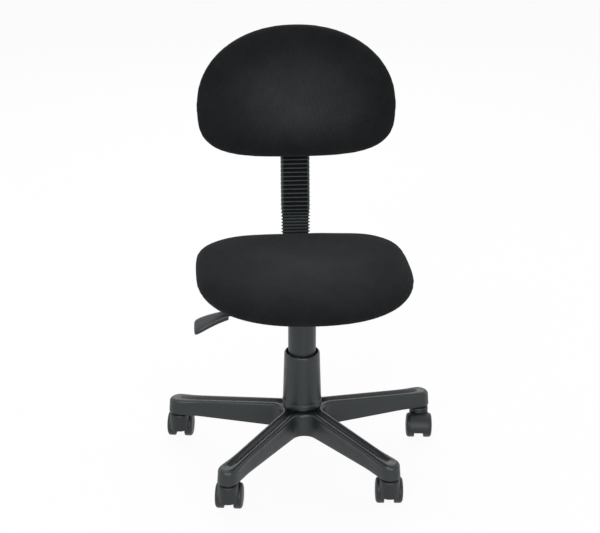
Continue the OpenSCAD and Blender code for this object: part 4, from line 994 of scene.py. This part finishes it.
def makePaddle(p):
    t = np.concatenate([np.linspace(0, 0.9, 30), 0.9 + 0.1 * np.sin(np.radians(np.linspace(6, 90, 12)))])
    end = np.clip((t - p["endShare"]) / (1 - p["endShare"]), 0, 1)
    close = np.sqrt(np.maximum(0, 1 - end ** p["close"]))
    begin = np.sqrt(np.clip(t / 0.03, 0, 1))
    halfW = mix(p["rootWidth"], p["width"], ease(t)) / 2 * mix(p["endWidth"], 1, close) * mix(0.88, 1, begin)
    halfT = p["thick"] / 2 * mix(p["endThick"], 1, close) * mix(0.85, 1, begin)
    x = -p["x"] + p["lead"] - (p["length"] + p["lead"]) * t
    slope = p["drop"] / p["length"]
    fall = (p["drop"] + p["lead"] * slope) * t
    z = p["leverZ"] + p["z"] + p["lead"] * slope - fall + p["arch"] * np.sin(np.pi * t)
    tilt = math.radians(p["tilt"])
    a = np.linspace(0, 2 * np.pi, 64, endpoint=False)
    across = halfW[:, None] * signedPower(np.cos(a), p["sidePower"])
    up = halfT[:, None] * signedPower(np.sin(a), p["topPower"])
    for shrink, out in ((0.93, 0.7), (0.8, 1.2), (0.6, p["endRound"])):  # the tip's face is slightly domed
        across = np.concatenate([across, across[-1:] * shrink])
        up = np.concatenate([up, up[-1:] * shrink])
        x = np.append(x, -p["x"] - p["length"] - out)
        z = np.append(z, z[-1])
    rings = np.stack([
        np.repeat(x[:, None], len(a), 1),
        across * math.cos(tilt) - up * math.sin(tilt),
        z[:, None] + across * math.sin(tilt) + up * math.cos(tilt),
    ], -1) * mm
    return finish(ringSurface("leverPaddle", rings), "lever", nylon, ["lever_paddle"], sharp=60)


makePaddle(paddle)
print("paddle made")

# Casters: each swivels about its stem by its own yaw, as in the photograph
caster = {
    "stemRing": base["stemRing"], "angles": base["armAngles"], "yaws": (-8, -4, 175, -90, -8), "trail": 19,
    "axleZ": 25, "inner": 9.5, "wheelWidth": 17.5, "wheelRadius": 25, "hoodVoxel": 0.9, "hoodRounds": 5,
}


# Half a wheel as (radius, distance out from its inner face): hub, groove, tread, round shoulder, dished cap
def wheelProfile(c):
    r, w = c["wheelRadius"], c["wheelWidth"]
    profile = [(0.4, 0), (6.2, 0), (6.5, 0.3), (6.5, 10.8), (7.3, 11.9), (20.4, 11.9), (21.4, 11.0),
               (21.5, 0.6), (21.9, 0.1), (23.9, 0.1), (24.6, 0.5), (24.93, 1.3), (r, 3), (r, 7), (r, w - 7.4)]
    profile += [(r - 7 * (1 - math.cos(t)), w - 7 + 5.9 * math.sin(t))
                for t in np.radians(np.linspace(6, 90, 12))]
    profile += [(17, 16.55), (14.5, 16.9), (12.4, 17.05), (11.9, 16.9), (11.6, 16.45), (11.2, 16.4),
                (10.9, 16.75), (10.5, 17.1), (9, 17.3), (5, 17.45), (0.4, 17.5)]
    return np.array(profile) * mm


# Where a caster's stem is, and the directions across its wheels and back to its axle
def casterFrame(i, c):
    a, yaw = math.radians(c["angles"][i]), math.radians(c["yaws"][i])
    stem = np.array([math.cos(a), math.sin(a)]) * c["stemRing"]
    across = np.array([math.cos(yaw), math.sin(yaw)])
    trailing = np.array([-math.sin(yaw), math.cos(yaw)])
    return stem, across, trailing


# A copy of a moulded CAD node with its hard edges melted: merged, remeshed fine and relaxed
def melted(nodeName, name, voxel, rounds):
    mesh = bmesh.new()
    mesh.from_mesh(nodes[nodeName].data)
    bmesh.ops.remove_doubles(mesh, verts=mesh.verts, dist=1e-6)
    data = bpy.data.meshes.new(name)
    mesh.to_mesh(data)
    mesh.free()
    piece = bpy.data.objects.new(name, data)
    scene.collection.objects.link(piece)
    piece.modifiers.new("even", "REMESH").voxel_size = voxel
    relax = piece.modifiers.new("relax", "SMOOTH")
    relax.factor = 0.5
    relax.iterations = rounds
    made = bpy.data.meshes.new_from_object(piece.evaluated_get(bpy.context.evaluated_depsgraph_get()))
    piece.modifiers.clear()
    piece.data = made
    return piece


def makeCasters(c):
    profile = wheelProfile(c)
    for i in range(5):
        stem, across, trailing = casterFrame(i, c)
        axle = (stem + trailing * c["trail"]) * mm
        for side, word in ((-1, "left"), (1, "right")):
            wheel = turned(f"{word}Wheel{i + 1}", profile, 72)
            out = np.array([*(across * side), 0])
            forward = np.array([*trailing, 0])
            inner = axle + across * side * c["inner"] * mm
            place(wheel, [forward * side, [0, 0, 1], out], [*inner, c["axleZ"] * mm])
            finish(wheel, f"wheel_{word}_{i + 1}", casterNylon, [f"wheel_{word}_{i + 1}"], sharp=50)
        hood = melted(f"caster_hood_{i + 1}", f"hood{i + 1}", c["hoodVoxel"] * mm, c["hoodRounds"])
        finish(hood, f"caster_{i + 1}", casterNylon, [f"caster_hood_{i + 1}"], sharp=0)


makeCasters(caster)
print("casters made")

# Clamp knobs: a stud, a round stem and a lobed grip, as levels of (distance out, radius, share of the lobes)
knob = {
    "stud": 4, "studLength": 20, "stem": 9, "stemHeight": 8, "grip": 18, "radius": 21, "lobes": 5,
    "lobeDepth": 0.19,
}


def makeKnob(name, node, origin, out, k):
    low, stud, stem, radius = k["studLength"], k["stud"], k["stem"], k["radius"]
    z0 = low + k["stemHeight"]
    z1 = z0 + k["grip"]
    levels = [(0, 0.6, 0), (0, stud - 0.5, 0), (0.5, stud, 0), (low, stud, 0), (low, stem - 0.8, 0),
              (low + 0.8, stem, 0), (z0 - 1, stem, 0), (z0, stem + 2, 0.3)]
    for t in np.radians(np.linspace(-90, 90, 17)):
        levels.append((mix(z0, z1, (math.sin(t) + 1) / 2), radius * mix(0.8, 1, math.cos(t) ** 0.35), 1))
    levels += [(z1, radius * 0.55, 0.6), (z1 - 0.4, radius * 0.4, 0.2), (z1 - 0.5, 0.6, 0)]
    levels = np.array(levels)
    a = np.linspace(0, 2 * np.pi, 120, endpoint=False)
    lobes = 1 - k["lobeDepth"] * levels[:, 2, None] * (1 - np.abs(np.cos(k["lobes"] * a / 2)) ** 0.8)
    r = levels[:, 1, None] * lobes * mm
    out, across = np.array(out, float), np.array([1.0, 0, 0])
    other = np.cross(out, across)
    rings = (np.array(origin, float) + (r * np.cos(a))[..., None] * across
             + (r * np.sin(a))[..., None] * other + levels[:, 0, None, None] * mm * out)
    return finish(ringSurface(name, rings), node, nylon, [node], sharp=45)


lean = math.radians(back["lean"])
makeKnob("depthKnob", "depth_knob", (0, 0.077, 0.3375), (0, 0, -1), knob)
makeKnob("heightKnob", "height_knob", (0, 0.246945, 0.651516), (0, math.cos(lean), -math.sin(lean)), knob)
print("knobs made")

# The CAD nodes that stay in sight get their finish
slotOf = {entry["node"]: entry["material_slot"] for entry in frame["record"]["subparts"]}
for name, node in nodes.items():
    node.data.materials.clear()
    node.data.materials.append(bySlot[slotOf[name]])
print("nodes finished")

# Studio: a white floor that fills the view, a soft frontal key, and fills from above, the sides and behind.
# Lamps are in metres and watts: name, place, size, power.
studio = {
    "world": 0.30, "floor": 0.94, "floorHalf": 12, "floorTop": -0.0004, "floorThick": 0.01,
    "aim": (0, 0, 0.45),
    "lamps": (
        ("key", (-1.3, -2.9, 2.2), 1.3, 55),
        ("front", (0.7, -3.3, 0.9), 1.0, 36),
        ("overhead", (-0.2, 0.6, 2.9), 2.6, 24),
        ("right", (2.8, 0.9, 1.2), 0.8, 8),
        ("left", (-2.8, 0.9, 1.2), 0.8, 6),
        ("rear", (0, 2.3, 2.2), 2.8, 34),
    ),
}


# A matt floor that the camera and reflections see as nearly white
def makeFloor(st):
    half, top = st["floorHalf"], st["floorTop"]
    corners = np.array([[-half, -half, top], [half, -half, top], [half, half, top], [-half, half, top]])
    floor = ringSurface("studioFloor", np.stack([corners, corners - np.array([0, 0, st["floorThick"]])]))
    s = Shader("studio floor")
    s.surface.inputs["Base Color"].default_value = (0.9, 0.9, 0.9, 1)
    s.surface.inputs["Roughness"].default_value = 0.9
    glow = s.add("ShaderNodeEmission")
    glow.inputs["Color"].default_value = (1, 1, 1, 1)
    rays = s.add("ShaderNodeLightPath").outputs
    seen = s.maths("MAXIMUM", rays["Is Camera Ray"],
                   s.maths("MAXIMUM", rays["Is Glossy Ray"], rays["Is Transmission Ray"]))
    blend = s.add("ShaderNodeMixShader")
    s.join(s.maths("MULTIPLY", seen, st["floor"]), blend.inputs["Fac"])
    s.join(s.surface.outputs["BSDF"], blend.inputs[1])
    s.join(glow.outputs["Emission"], blend.inputs[2])
    s.join(blend.outputs["Shader"], s.tree.nodes["Material Output"].inputs["Surface"])
    floor.data.materials.append(s.material)


# A dim even world as light, which the camera and reflections see as white
def makeWorld(st):
    world = bpy.data.worlds.new("studio")
    scene.world = world
    world.use_nodes = True
    tree = world.node_tree
    tree.nodes.clear()
    rays = tree.nodes.new("ShaderNodeLightPath").outputs
    seen = rays["Is Camera Ray"]
    for kind in ("Is Glossy Ray", "Is Transmission Ray"):
        either = tree.nodes.new("ShaderNodeMath")
        either.operation = "MAXIMUM"
        tree.links.new(seen, either.inputs[0])
        tree.links.new(rays[kind], either.inputs[1])
        seen = either.outputs[0]
    chooser = tree.nodes.new("ShaderNodeMixShader")
    tree.links.new(seen, chooser.inputs["Fac"])
    for k, strength in ((1, st["world"]), (2, 1.0)):
        light = tree.nodes.new("ShaderNodeBackground")
        light.inputs["Color"].default_value = (1, 1, 1, 1)
        light.inputs["Strength"].default_value = strength
        tree.links.new(light.outputs[0], chooser.inputs[k])
    output = tree.nodes.new("ShaderNodeOutputWorld")
    tree.links.new(chooser.outputs[0], output.inputs["Surface"])


# Round soft lamps, each turned to the middle of the chair
def makeLamps(st):
    for name, where, size, power in st["lamps"]:
        data = bpy.data.lights.new(name, "AREA")
        data.shape = "DISK"
        data.size = size
        data.energy = power
        lamp = bpy.data.objects.new(name, data)
        x, y, z = np.array(st["aim"]) - np.array(where)
        lamp.location = where
        lamp.rotation_euler = (math.acos(-z / math.hypot(x, y, z)), 0, math.atan2(y, x) - math.pi / 2)
        scene.collection.objects.link(lamp)


makeFloor(studio)
makeWorld(studio)
makeLamps(studio)
print("studio lit")
